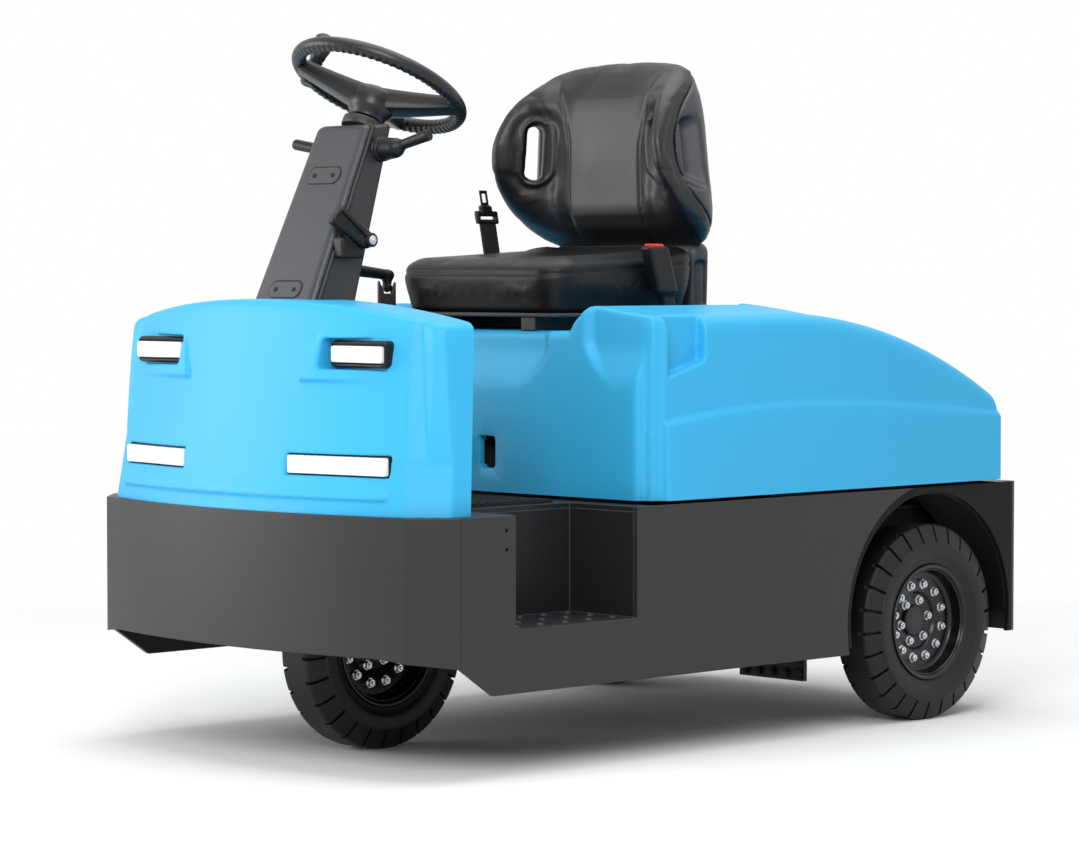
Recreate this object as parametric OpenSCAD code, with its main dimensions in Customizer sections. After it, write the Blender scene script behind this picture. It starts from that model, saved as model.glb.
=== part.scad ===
// Three-wheeled electric tow tractor. The front is -Y, the driver's left is +X, the floor is z = 0.

/* [Overall] */
// Length from the bumper's front to the end of the tow coupling
overall_l = 1900; // [1880:5:1960]
// Width over the side panels
body_w = 1042; // [1020:2:1080]
// Length from the bumper's front to the outer face of the rear plate
body_l = 1808; // [1800:2:1816]
// Distance between the front and rear axle lines
wheelbase = 1134; // [1126:2:1138]
// Distance from the bumper's front to the front axle line
front_overhang = 385; // [375:5:400]

/* [Chassis plates] */
// Thickness of the chassis plates
plate_t = 10; // [8:1:12]
// Height of the floor deck and of the top of the side panels
deck_z = 496; // [492:2:510]
// Height of the bumper's lower edge
bumper_z = 215; // [205:5:230]
// Height of the lower edge of the side panels
skirt_z = 160; // [150:5:170]
// Radius of the bumper's bow in plan
bow_r = 1600; // [1500:50:1800]
// Length of the bumper's corner from its front to the straight side
corner_l = 138; // [130:2:146]
// Length of the sloped cut at the front of each side panel
chamfer_l = 83; // [70:1:95]

/* [Step wells] */
// Distance from the bumper's front to the step
step_front = 278; // [272:2:286]
// Length of the step opening
step_l = 328; // [300:4:336]
// Height of the step tread
step_z = 281; // [270:1:295]
// Depth of the step inward from the side
step_depth = 186; // [160:2:200]
// Sheet thickness of the step well
step_t = 6; // [5:1:8]
// Spacing of the two accessory holes in each side panel
accessory_pitch = 36; // [30:1:42]
// Diameter of the accessory holes
accessory_d = 8.5; // [6.5:0.5:10.5]

/* [Wheels] */
// Outer radius of the tyres
tyre_r = 208; // [204:1:210]
// Width of the tyres
tyre_w = 110; // [104:2:114]
// Radius of the rim under the tyre
rim_r = 124; // [118:1:128]
// Distance of the rear tyre's outer face from the side of the body
wheel_inset = 8; // [6:1:14]
// Lugs around each tyre
lugs = 26; // [20:1:28]
// Radius of the wheel arch opening
arch_r = 262; // [252:2:264]
// Height of the arch centre above the rear axle line
arch_rise = 14; // [8:1:18]
// Width of the rear fender behind its arch
arch_tail = 33; // [28:1:38]

/* [Steering] */
// Radius of the steering bearing
bearing_r = 80; // [70:2:90]
// Lean of the steering shaft towards the driver
shaft_lean = 27; // [24:1:30]
// Outer radius of the steering wheel
wheel_rim_r = 184; // [175:1:190]
// Radius of the steering wheel's grip
grip_r = 15; // [13:0.5:17]
// Height of the steering wheel's centre above the floor deck
wheel_height = 823; // [810:1:840]
// Distance from the bumper's front to the steering wheel's centre
wheel_back = 404; // [394:2:414]

/* [Cowl] */
// Height of the cowl's side above the floor deck
cowl_side_h = 352; // [340:2:364]
// Rise of the cowl's crown above its sides
cowl_crown = 50; // [40:1:60]
// Wall thickness of the moulded panels
wall = 5; // [4:0.5:6]
// Half width of the cowl at its foot
cowl_half_w = 494; // [484:2:500]
// Setback of the cowl's foot from the bumper's front
cowl_setback = 17; // [14:1:24]
// Leg of the chamfer down each corner of the cowl
cowl_corner = 63; // [56:1:70]
// Width at the top of the strip that splits the chamfer
strip_w = 36; // [30:1:40]
// Stand of the lamp pads and of the low ridge off the cowl
pad_stand = 7; // [5:0.5:9]

/* [Hood] */
// Distance from the bumper's front to the hood's front wall
hood_front = 649; // [645:1:653]
// Gap between the hood's lower edge and the side panels
hood_gap = 7; // [5:1:10]
// Length of the hood
hood_l = 1100; // [1092:2:1104]
// Height of the hood's crown above the floor deck
hood_h = 394; // [384:2:404]
// Height of the seat deck above the floor deck
seat_deck_h = 336; // [330:2:340]
// Leg of the fluted chamfer down each front corner of the hood
hood_corner = 47; // [40:1:54]
// Depth of the two flutes in that chamfer
flute_depth = 5; // [3:0.5:7]
// Depth of the hand pocket in each side of the hood
pocket_depth = 24; // [16:1:30]
// Half width of the seat well in the hood
seat_well_w = 290; // [282:2:300]

/* [Seat] */
// Width of the seat cushion
cushion_w = 490; // [470:5:510]
// Depth of the seat cushion
cushion_l = 436; // [420:4:440]
// Height of the seat cushion's front edge
cushion_h = 104; // [98:1:108]
// Height of the backrest along its lean
back_h = 402; // [390:2:414]
// Lean of the backrest
back_lean = 2; // [0:1:5]
// Thickness of the backrest at its middle
back_t = 95; // [90:1:100]

/* [Hidden] */
$fn = 64;
smooth_fn = 180;
eps = 0.01;
big = 4000;
run_gap = 0.3;
fit = 0.05;

blue = "#4fb5e8";
steel_grey = "#4a4a4d";
dark_grey = "#3a3a3c";
black = "#1b1b1d";
white = "#f2f2ee";
silver = "#c8cacc";

// Overall length for which the lengths along the tractor are given; they stretch with it
design_l = 1900;
front_y = -overall_l / 2;
stretch = overall_l / design_l;
rear_y = front_y + body_l * stretch;
half_w = body_w / 2;
axle_f = front_y + front_overhang * stretch;
axle_r = axle_f + wheelbase * stretch;
rear_wheel_x = half_w - wheel_inset - tyre_w / 2;
corner_y = front_y + corner_l;
step_y = front_y + step_front * stretch;
step_len = step_l * stretch;
step_in = half_w - step_depth;
arch_y = min(axle_r, rear_y - arch_r - arch_tail);
arch_z = tyre_r + arch_rise;
deck_under = deck_z - plate_t;
hood_y = front_y + hood_front * stretch;
hood_len = hood_l * stretch;
hood_z = deck_z + hood_gap;
hood_end = hood_y + hood_len;
seat_deck_z = deck_z + seat_deck_h;
shaft_axis = [0, sin(shaft_lean), cos(shaft_lean)];
wheel_centre = [0, front_y + wheel_back, deck_z + wheel_height];

// Extrudes an outline of y and z along x, from x0 over a thickness
module yz(x0, thick) translate([x0, 0, 0]) rotate([90, 0, 90]) linear_extrude(thick) children();

// Extrudes an outline of x and z along y, from y0 over a thickness
module xz(y0, thick) translate([0, y0 + thick, 0]) rotate([90, 0, 0]) linear_extrude(thick) children();

// Extrudes a plan outline upwards from z0
module plan(z0, thick) translate([0, 0, z0]) linear_extrude(thick) children();

// A box by its lowest and highest corners
module block(low, high) translate(low) cube(high - low);

// A round bar between two points
module bar(from, to, r) {
    way = to - from;
    translate(from) rotate([0, acos(way[2] / norm(way)), atan2(way[1], way[0])])
        cylinder(r = r, h = norm(way));
}

// Turns an outline of radius and width about the x axis
module wheel_turn() rotate([90, 0, 90]) rotate_extrude($fn = smooth_fn) children();

// A slot outline with round ends
module slot(length, width) {
    square([length - width, width], center = true);
    for (end = [-1, 1]) translate([end * (length - width) / 2, 0]) circle(d = width);
}

// A rectangle with round corners
module round_rect(size, r) {
    difference() {
        square(size, center = true);
        for (sx = [-1, 1], sy = [-1, 1]) translate([sx * (size[0] / 2 - r), sy * (size[1] / 2 - r)])
            difference() {
                translate([sx > 0 ? 0 : -r - 1, sy > 0 ? 0 : -r - 1]) square(r + 1);
                circle(r = r);
            }
    }
}

// A closed solid skinned over sections that have as many points each, with fan ends about each first point
module skin(sections) {
    count = len(sections[0]);
    last = len(sections) - 1;
    points = [for (section = sections) each section];
    sides = [for (i = [0:last - 1], j = [0:count - 1])
        let (a = i * count + j, b = i * count + (j + 1) % count)
        each [[a, b, b + count], [a, b + count, a + count]]];
    first_end = [for (j = [1:count - 2]) [0, j + 1, j]];
    last_end = [for (j = [1:count - 2]) [last * count, last * count + j, last * count + j + 1]];
    polyhedron(points, concat(sides, first_end, last_end), convexity = 8);
}

// Right half of an outline, mirrored to a full one behind its first point
function both_sides(half) =
    concat([[0, half[0][1]]], half, [for (i = [len(half) - 1:-1:0]) [-half[i][0], half[i][1]]]);

// Chassis

// Plan area inside the line of the bumper and the side panels, drawn in by an inset
module nose_plan(inset) {
    side = half_w - inset;
    facet = half_w - corner_y - inset * sqrt(2);
    tip = front_y - 20;
    intersection() {
        translate([0, front_y + bow_r]) circle(r = bow_r - inset, $fn = 720);
        polygon([[side, rear_y], [side, side - facet], [facet + tip, tip],
            [-facet - tip, tip], [-side, side - facet], [-side, rear_y]]);
    }
}

module front_bumper() color(steel_grey) plan(bumper_z, deck_z - bumper_z) difference() {
    nose_plan(0);
    nose_plan(plate_t);
    translate([-big / 2, corner_y]) square(big);
}

// Outline of a side panel's skirt, with the step opening and the curved edge in front of the wheel
module side_panel_outline() difference() {
    polygon([[corner_y, deck_z], [arch_y, deck_z], [arch_y, skirt_z], [corner_y + chamfer_l, skirt_z],
        [corner_y, bumper_z]]);
    translate([arch_y, arch_z]) circle(r = arch_r + 22, $fn = smooth_fn);
    translate([step_y, step_z]) square([step_len, deck_z]);
}

accessory_at = [step_y - 23, deck_z - 46];

module side_panel(side) color(steel_grey) mirror([side > 0 ? 0 : 1, 0, 0]) difference() {
    yz(half_w - plate_t, plate_t) side_panel_outline();
    for (hole = [-0.5, 0.5])
        translate([half_w - plate_t - 1, accessory_at[0], accessory_at[1] + hole * accessory_pitch])
            rotate([0, 90, 0]) cylinder(d = accessory_d, h = plate_t + 2);
}

module side_panel_left() side_panel(1);
module side_panel_right() side_panel(-1);

module floor_deck() color(dark_grey) plan(deck_under, plate_t) difference() {
    nose_plan(plate_t);
    translate([-big / 2, hood_y + plate_t]) square(big);
    for (side = [-1, 1]) translate([side * (step_in + step_depth / 2), step_y + step_len / 2])
        square([step_depth, step_len], center = true);
}

mat_rib = 22;
mat_rib_h = 3;
mat_t = 4;
mat_setback = 70;

// Rubber mat in the leg space, ribbed across
module floor_mat() color(black) {
    length = hood_y - step_y - plate_t - mat_setback;
    width = 2 * step_in - 4 * plate_t;
    y0 = step_y + plate_t;
    block([-width / 2, y0, deck_z], [width / 2, y0 + length, deck_z + mat_t]);
    for (i = [0.5:floor(length / mat_rib) - 0.5])
        block([-width / 2, y0 + i * mat_rib, deck_z],
            [width / 2, y0 + (i + 0.5) * mat_rib, deck_z + mat_t + mat_rib_h]);
}

tread_stud_r = 9;
tread_cols = 5;
tread_rows = 3;

// Open sheet box behind the side opening, its tread with rows of raised, pierced studs
module step_well(side) color(dark_grey) mirror([side > 0 ? 0 : 1, 0, 0]) {
    outer = half_w - plate_t;
    difference() {
        block([step_in - step_t, step_y - step_t, step_z - step_t],
            [outer, step_y + step_len + step_t, deck_under]);
        block([step_in, step_y, step_z], [outer + 1, step_y + step_len, deck_z]);
        for (i = [0:tread_cols - 1], j = [0:tread_rows - 1]) stud_at(i, j) translate([0, 0, -step_t - 1])
            cylinder(r = tread_stud_r / 2, h = step_t + 2);
    }
    for (i = [0:tread_cols - 1], j = [0:tread_rows - 1]) stud_at(i, j) difference() {
        cylinder(r1 = tread_stud_r, r2 = tread_stud_r - 2, h = 3);
        translate([0, 0, -1]) cylinder(r = tread_stud_r / 2, h = 5);
    }
}

module stud_at(i, j) {
    x = step_in + step_depth * (j + 0.5) / tread_rows - plate_t / 2;
    y = step_y + step_len * (i + 0.5) / tread_cols;
    translate([x, y, step_z]) children();
}

module step_well_left() step_well(1);
module step_well_right() step_well(-1);

// Battery block, and the clearance behind it in its bay
battery_w = 640;
battery_l = 520;
battery_h = 560;
bay_gap = 28;
arch_front = arch_y - arch_r - 14;
battery_y = hood_y + plate_t + 30;
battery_len = battery_l * stretch;
tray_end = max(arch_front, battery_y + battery_len + bay_gap);
axle_tube_r = 48;

// Battery floor, as wide as the battery where it runs between the arches, bulkhead under the hood's front
// wall and the two rails that run back over the axle
module main_frame() color(dark_grey) {
    inner = half_w - plate_t;
    narrow = battery_w / 2 + plate_t;
    rail_w = 50;
    rail_h = 70;
    rail_top = deck_z - 60;
    block([-inner, hood_y, skirt_z], [inner, arch_front, skirt_z + plate_t]);
    block([-narrow, hood_y, skirt_z], [narrow, tray_end, skirt_z + plate_t]);
    block([-inner, hood_y, skirt_z + plate_t], [inner, hood_y + plate_t, deck_under]);
    block([-narrow, tray_end - plate_t, skirt_z + plate_t], [narrow, tray_end, rail_top]);
    for (side = [-1, 1]) mirror([side > 0 ? 0 : 1, 0, 0]) {
        block([narrow, arch_front - plate_t, skirt_z + plate_t], [inner, arch_front, rail_top]);
        block([narrow - plate_t, arch_front - plate_t, skirt_z + plate_t], [narrow, tray_end, rail_top]);
        block([narrow - rail_w, tray_end - plate_t, rail_top - rail_h], [narrow, rear_y - plate_t, rail_top]);
    }
}

ledge_l = 60;
rear_corner = 24;

// Plan area inside the line of the rear plate, drawn in by an inset, its corners rounded
module tail_plan(inset) {
    side = half_w - plate_t - inset;
    r = rear_corner - inset;
    hull() {
        for (x = [-side + r, side - r]) translate([x, rear_y - inset - r]) circle(r = r, $fn = 48);
        translate([-side, rear_y - ledge_l]) square([2 * side, 1]);
    }
}

// Plate across the back, folded round into the fenders, with a ledge under the hood's rear edge
module rear_plate() color(steel_grey) {
    plan(skirt_z + 12, deck_z - skirt_z - 12) difference() {
        tail_plan(0);
        tail_plan(plate_t);
        translate([-big / 2, rear_y - rear_corner - big]) square(big);
    }
    plan(deck_under, plate_t) intersection() {
        tail_plan(eps);
        square([2 * (half_w - 2 * plate_t), big], center = true);
    }
}

// Rear fender plate with its arch opening, and the curved liner over the wheel behind it
module wheel_arch(side) color(steel_grey) mirror([side > 0 ? 0 : 1, 0, 0]) {
    outer = half_w - plate_t;
    depth = tyre_w + wheel_inset + 10;
    liner_r = arch_r + 2;
    front_edge = arch_y - arch_r - 12;
    tail = rear_y - rear_corner;
    low = skirt_z + 12;
    yz(outer - plate_t, plate_t) difference() {
        polygon([[front_edge, deck_z], [tail, deck_z], [tail, low], [front_edge, low]]);
        translate([arch_y, arch_z]) circle(r = arch_r, $fn = smooth_fn);
    }
    yz(outer - plate_t - depth, depth) difference() {
        translate([arch_y, arch_z]) circle(r = liner_r, $fn = smooth_fn);
        translate([arch_y, arch_z]) circle(r = liner_r - step_t, $fn = smooth_fn);
        translate([arch_y - big / 2, arch_z - big]) square(big);
        translate([rear_y - plate_t, 0]) square(big);
    }
}

module wheel_arch_left() wheel_arch(1);
module wheel_arch_right() wheel_arch(-1);

// Cowl

cowl_lean = 58;
cowl_narrow = 29;
cowl_rear = 188;
cowl_rear_lean = 37;
strip_from = 0.3;
rim_round = 14;
front_steps = 10;

// Setback of the bow at a distance from the middle
function bow_sag(x) = bow_r - sqrt(bow_r * bow_r - x * x);

// Half outline of the cowl at a share up its height, drawn in by an inset, from the rear edge to the middle.
// The corner is a chamfer, split from a third of the height upward by a strip that faces the front.
function cowl_half(share, inset) =
    let (
        w = cowl_half_w - cowl_narrow * share,
        strip = max(0.5, strip_w * (share - strip_from) / (1 - strip_from)),
        facet = (cowl_corner - strip) / 2,
        x1 = w - cowl_corner,
        start_y = front_y + cowl_setback + cowl_lean * share,
        y1 = start_y + bow_sag(x1),
        rear = front_y + cowl_rear + cowl_rear_lean * share,
        draw = inset * tan(22.5)
    )
    concat(
        [[w - inset, rear + (inset > 0 ? 2 : 0)], [w - inset, y1 + 2 * facet + draw]],
        [for (p = [[x1 + facet + strip, y1 + facet], [x1 + facet, y1 + facet], [x1, y1]]) p + [-draw, inset]],
        [for (i = [front_steps - 1:-1:1]) let (x = (x1 - draw) * i / front_steps)
            [x, start_y + inset + bow_sag(x)]]
    );

// Height of the cowl's top over a point of its plan
function cowl_top(x) = deck_z + cowl_side_h + cowl_crown * (1 - pow(x / cowl_half_w, 2));

// The cowl as a closed solid: rows up its wall, rows round its rim, and a fan over its top
module cowl_body(inset) {
    wall_rows = [for (t = [0:0.2:0.8]) [t, 0]];
    rim_rows = [for (a = [0:22.5:90]) [0.9, a]];
    skin([for (row = concat(wall_rows, rim_rows)) let (
            share = row[1] > 0 ? 1 : row[0] / 0.9,
            half = cowl_half(share, inset + rim_round * (1 - cos(row[1]))),
            outline = both_sides(half)
        )
        [for (p = outline) let (
                top = cowl_top(p[0]) - inset,
                z = row[1] > 0 || row[0] > 0.85 ? top - rim_round * (1 - sin(row[1]))
                    : deck_z + (top - rim_round - deck_z) * row[0] / 0.9
            )
            [p[0], p[1], z - (row[0] == 0 && inset > 0 ? 2 : 0)]]]);
}

// Lamps of the cowl: middle from the centre line, length, height above the deck and height of each
upper_lamp_x = 298;
upper_lamp_l = 138;
upper_lamp_z = 301;
upper_lamp_h = 32;
lower_lamp_x = 272;
lower_lamp_l = 224;
lower_lamp_z = 93;
lower_lamp_h = 27;
lamp_deep = 40;

// Front surface of the cowl at a point, as its distance along y
function cowl_face(x, z) = let (share = (z - deck_z) / cowl_side_h)
    front_y + cowl_setback + cowl_lean * share + bow_sag(x);

// Places children on the cowl's face at a lamp, with x along the lamp and -y outward
module on_cowl(side, x, z) translate([side * x, cowl_face(x, deck_z + z), deck_z + z])
    rotate([0, 0, side * asin(x / bow_r)]) rotate([-atan(cowl_lean / cowl_side_h), 0, 0]) children();

// A box with round ends across, along x, centred on its face
module lamp_form(length, height, y0, y1) xz(y0, y1 - y0) round_rect([length, height], height / 3);

module lamp_cuts(grow) for (side = [-1, 1]) {
    on_cowl(side, upper_lamp_x, upper_lamp_z)
        lamp_form(upper_lamp_l + 26 + grow, upper_lamp_h + 22 + grow, -60, lamp_deep + 20);
    on_cowl(side, lower_lamp_x, lower_lamp_z)
        lamp_form(lower_lamp_l + grow, lower_lamp_h + grow, -60, lamp_deep);
}

pad_low = -53;
pad_high = 54;
pad_in = -150;
pad_out = 90;
pad_slant = 42;
pad_turn = 2.5;
ridge_z = 27;
ridge_h = 34;
ridge_half = 396;

// Wedge pads round the upper lamps, which stand proud at their lower inner corner and fade out above
module lamp_pads() for (side = [-1, 1])
    on_cowl(side, upper_lamp_x, upper_lamp_z) mirror([side > 0 ? 0 : 1, 0, 0]) rotate([0, 0, pad_turn])
        intersection() {
            xz(-30, 60) polygon([[pad_in, pad_low], [pad_out, pad_low], [pad_out, pad_high],
                [pad_in + pad_slant, pad_high]]);
            yz(-200, 400) polygon([[4, pad_low], [0, pad_low], [-pad_stand / 2, pad_low + 9], [1, pad_high],
                [4, pad_high]]);
        }

// Ridge along the foot of the cowl, with a sloped underside
module cowl_ridge() intersection() {
    translate([0, cowl_face(0, deck_z + ridge_z + ridge_h / 2) + bow_r, deck_z + ridge_z])
        rotate_extrude($fn = 720) polygon([[bow_r - 4, 0], [bow_r + 2, 0], [bow_r + pad_stand, 7],
            [bow_r - 3, ridge_h], [bow_r - 4, ridge_h]]);
    block([-ridge_half, front_y, deck_z], [ridge_half, corner_y, deck_z + cowl_side_h]);
}

module cowl() color(blue) difference() {
    union() {
        difference() {
            cowl_body(0);
            cowl_body(wall);
        }
        lamp_pads();
        cowl_ridge();
    }
    lamp_cuts(0);
    column_form(column_gap);
}

module lamp_housings() color(black) for (side = [-1, 1]) {
    on_cowl(side, upper_lamp_x, upper_lamp_z) difference() {
        lamp_form(upper_lamp_l + 25, upper_lamp_h + 21, 2, lamp_deep);
        lamp_form(upper_lamp_l, upper_lamp_h, -10, lamp_deep - 8);
    }
    on_cowl(side, lower_lamp_x, lower_lamp_z)
        lamp_form(lower_lamp_l - 1, lower_lamp_h - 1, 14, lamp_deep);
}

module lamp_lenses() color(white) for (side = [-1, 1]) {
    on_cowl(side, upper_lamp_x, upper_lamp_z)
        lamp_form(upper_lamp_l - 1, upper_lamp_h - 1, 14, lamp_deep - 8);
    on_cowl(side, lower_lamp_x, lower_lamp_z)
        lamp_form(lower_lamp_l - 1, lower_lamp_h - 1, 0, 14);
}

dash_t = 8;
dash_in = 6;

// Panel that closes the cowl towards the driver's legs, leaning with the cowl's rear edge
module dash_panel() color(dark_grey) difference() {
    intersection() {
        cowl_body(wall + run_gap);
        yz(-half_w, body_w) polygon([[dash_y(0), deck_z], [dash_y(0) + dash_t, deck_z],
            [dash_y(cowl_side_h + cowl_crown) + dash_t, deck_z + cowl_side_h + cowl_crown],
            [dash_y(cowl_side_h + cowl_crown), deck_z + cowl_side_h + cowl_crown]]);
    }
    column_form(column_gap);
}

// Front face of the dash panel at a height above the deck
function dash_y(h) = front_y + cowl_rear - dash_in - dash_t + cowl_rear_lean * h / cowl_side_h;

// Levels of the steering column's cover: half width, front, rear and height above the deck
SIDE = 0;
FRONT = 1;
REAR = 2;
LEVEL = 3;
column_foot = [90, 149, 269, 399];
column_head = [76, 308, 378, 750];
column_drop = 200;
column_gap = 2;

// Half width of the column cover at a height above the deck
function column_side(h) = let (low_h = column_foot[LEVEL] - column_drop)
    column_foot[SIDE] + (column_head[SIDE] - column_foot[SIDE]) * (h - low_h) / (column_head[LEVEL] - low_h);

// Tapered cover of the steering column, grown on all sides
module column_form(grow) {
    low = column_foot;
    high = column_head;
    rise = high[LEVEL] - low[LEVEL];
    slope_front = (high[FRONT] - low[FRONT]) / rise;
    slope_rear = (high[REAR] - low[REAR]) / rise;
    drop = column_drop;
    foot = [low[SIDE], low[FRONT] - slope_front * drop, low[REAR] - slope_rear * drop, low[LEVEL] - drop];
    skin([for (level = [foot, high])
        [for (p = column_ring(level, grow)) [p[0], p[1], deck_z + level[LEVEL]]]]);
}

// Ring of the column cover at one level, its front corners bevelled
function column_ring(level, grow) =
    let (w = level[SIDE] + grow, f = front_y + level[FRONT] - grow, r = front_y + level[REAR] + grow, c = 12)
    [[0, r], [w - c, r], [w, r - c], [w, f + c], [w - c, f],
        [-w + c, f], [-w, f + c], [-w, r - c], [-w + c, r]];

module steering_column() color(steel_grey) {
    column_form(0);
    head = 70;
    foot_w = 100;
    foot_l = 75;
    foot_y = front_y + 90;
    foot_top = deck_z + column_foot[LEVEL] - column_drop + 1;
    bar(wheel_centre - shaft_axis * 160, wheel_centre - shaft_axis * head, 40);
    bar(wheel_centre - shaft_axis * (head + 5), wheel_centre - shaft_axis * (hub_low + run_gap), 17);
    block([-foot_w / 2, foot_y, deck_z], [foot_w / 2, foot_y + foot_l, foot_top]);
}

// Oblong access covers on the column's front face, as heights above the deck
cover_heights = [643, 420];

module column_covers() color(dark_grey) for (h = cover_heights) {
    lean = atan((column_head[FRONT] - column_foot[FRONT]) / (column_head[LEVEL] - column_foot[LEVEL]));
    y = front_y + column_foot[FRONT] + (h - column_foot[LEVEL]) * tan(lean);
    translate([0, y, deck_z + h]) rotate([-lean, 0, 0]) rotate([90, 0, 0]) linear_extrude(4) slot(78, 36);
}

stalk_base = wheel_centre - shaft_axis * 148;

// Stalks under the steering wheel: a switch on each side of the column head
module control_levers() color(black) for (side = [-1, 1]) {
    boot_r = 16;
    root = stalk_base + [side * (column_side(stalk_base[2] - deck_z - boot_r) + run_gap), 0, 0];
    bar(root, root + [side * 36, 0, 0], boot_r);
    bar(root + [side * 36, 0, 0], root + [side * 110, 10, 26], 9);
}

// Lever on the driver's left of the column, swung up and forward from its pivot
module paddle_handle() color(black) {
    pivot_r = 14;
    tip_r = 9;
    h = 518;
    at = [column_side(h - pivot_r) + run_gap, front_y + 262, deck_z + h];
    bar(at, at + [42, 0, 0], pivot_r - 2);
    hull() {
        bar(at + [14, 0, 0], at + [40, 0, 0], pivot_r);
        bar(at + [10, -64, 50], at + [36, -64, 50], tip_r);
    }
}

// Hand brake stand in front of the seat box, with its lever
module hand_brake() color(black) {
    x = -250;
    y = hood_y - 46;
    top = deck_z + 400;
    block([x - 4, y, deck_z], [x + 4, y + 34, top]);
    bar([x - 12, y + 17, top - 14], [x + 12, y + 17, top - 14], 11);
    bar([x, y + 17, top - 14], [x, y - 100, top + 40], 10);
}

// Pedals hung from the dash panel: middle x and width
MIDDLE = 0;
WIDTH = 1;
pedal_rows = [[-60, 80], [-190, 60]];

module pedals() color(black) for (row = pedal_rows) {
    y0 = dash_y(166) + dash_t + run_gap;
    block([row[MIDDLE] - 8, y0, deck_z + 150], [row[MIDDLE] + 8, y0 + 40, deck_z + 166]);
    translate([0, y0 + 40, deck_z + 160]) rotate([35, 0, 0])
        block([row[MIDDLE] - row[WIDTH] / 2, -6, -70], [row[MIDDLE] + row[WIDTH] / 2, 6, 24]);
}

module battery() color(dark_grey) {
    low = [-battery_w / 2, battery_y, skirt_z + plate_t];
    block(low, low + [battery_w, battery_len, battery_h]);
}

hub_r = 60;
spindle_r = 30;

// Axle tube with its central gear case, motor and the spindles that carry the rear wheels
module drive_axle() color(dark_grey) {
    inner = rear_wheel_x - tyre_w / 2;
    translate([-inner + 30, axle_r, tyre_r]) rotate([0, 90, 0]) cylinder(r = axle_tube_r, h = 2 * inner - 60);
    translate([0, axle_r, tyre_r]) rotate([0, 90, 0]) cylinder(r = 115, h = 180, center = true);
    translate([0, axle_r, tyre_r + 60]) rotate([-90, 0, 0]) cylinder(r = 85, h = 190);
    for (side = [-1, 1]) mirror([side > 0 ? 0 : 1, 0, 0]) {
        translate([inner - 30, axle_r, tyre_r]) rotate([0, 90, 0]) cylinder(r = hub_r, h = 26);
        translate([inner - 4, axle_r, tyre_r]) rotate([0, 90, 0])
            cylinder(r = spindle_r, h = tyre_w / 2 + 4 + hub_x);
        block([inner - 130, axle_r - 30, tyre_r + 30], [inner - 60, axle_r + 30, deck_z - 130]);
    }
}

// Bolted brackets under the battery floor in front of the axle
module axle_brackets() color(dark_grey) for (side = [-1, 1]) mirror([side > 0 ? 0 : 1, 0, 0])
    xz(arch_front - 20, 8) polygon([[232, skirt_z - 62], [414, skirt_z - 62], [414, skirt_z], [390, skirt_z],
        [378, skirt_z - 24], [232, skirt_z - 30]]);

coupling_w = 120;
coupling_z = 250;
coupling_tiers = 4;
tier_pitch = 62;
tier_t = 14;
tier_r = min(44, (overall_l / 2 - rear_y) / 2);
pin_r = 14;
pin_inset = 32;

// Stepped coupling: a bolted back plate with shelves, bored through for the drop pin
module tow_coupling() color(dark_grey) difference() {
    plate_back = 14;
    reach = overall_l / 2;
    top = coupling_z + (coupling_tiers - 1) * tier_pitch + tier_t;
    union() {
        block([-coupling_w / 2, rear_y, coupling_z - 30], [coupling_w / 2, rear_y + plate_back, top + 30]);
        for (i = [0:coupling_tiers - 1]) plan(coupling_z + i * tier_pitch, tier_t) {
            translate([-tier_r, rear_y + plate_back / 2])
                square([2 * tier_r, reach - rear_y - plate_back / 2 - tier_r]);
            translate([0, reach - tier_r]) circle(r = tier_r);
        }
    }
    translate([0, reach - pin_inset, 0]) cylinder(r = pin_r + run_gap, h = big);
}

module tow_pin() color(silver) {
    top = coupling_z + (coupling_tiers - 1) * tier_pitch + tier_t;
    translate([0, overall_l / 2 - pin_inset, 0]) {
        translate([0, 0, coupling_z - 12]) cylinder(r = pin_r, h = top - coupling_z + 12);
        translate([0, 0, top]) cylinder(r = 24, h = 10);
        translate([0, 0, top + 10]) cylinder(r = 9, h = 40);
        translate([-45, 0, top + 50]) rotate([0, 90, 0]) cylinder(r = 9, h = 90);
    }
}

module rear_lamps() color("#b3201f") for (side = [-1, 1])
    translate([side * (half_w - 130), 0, deck_z - 70]) xz(rear_y, 22) round_rect([120, 60], 12);

hinge_r = 7.5;
hinge_pin_r = 4;
hinge_w = 60;
hinge_x = 300;
hinge_t = 4;
hinge_axis = [hood_end + 12, deck_z + 10];

// A round bar along the hinge line, between two distances from a hinge's middle
module hinge_bar(from, to, r) translate([from, hinge_axis[0], hinge_axis[1]]) rotate([0, 90, 0])
    cylinder(r = r, h = to - from);

// Fixed half of each hinge: a plate on the ledge, two outer knuckles and the pin
module hinge_base() color(dark_grey) for (side = [-1, 1]) translate([side * hinge_x, 0, 0]) {
    end = hinge_w / 2;
    inner = hinge_w / 6 + run_gap;
    plate_top = deck_z + hinge_t;
    block([-end, hinge_axis[0] + hinge_r + 2, deck_z], [end, rear_y - 4, plate_top]);
    for (knuckle = [[-end, -inner], [inner, end]]) {
        block([knuckle[0], hinge_axis[0] - 4, deck_z], [knuckle[1], rear_y - 4, plate_top]);
        hinge_bar(knuckle[0], knuckle[1], hinge_r);
    }
    hinge_bar(-end, end, hinge_pin_r);
}

bearing_h = 36;

// Slewing ring under the floor deck that carries the fork
module steer_bearing() color(dark_grey) translate([0, axle_f, deck_under - bearing_h]) difference() {
    cylinder(r = bearing_r, h = bearing_h);
    translate([0, 0, -1]) cylinder(r = bearing_r / 2 + fit, h = bearing_h + 2);
}

stub_r = 20;
leg_gap = 12;
leg_t = 18;

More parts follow.
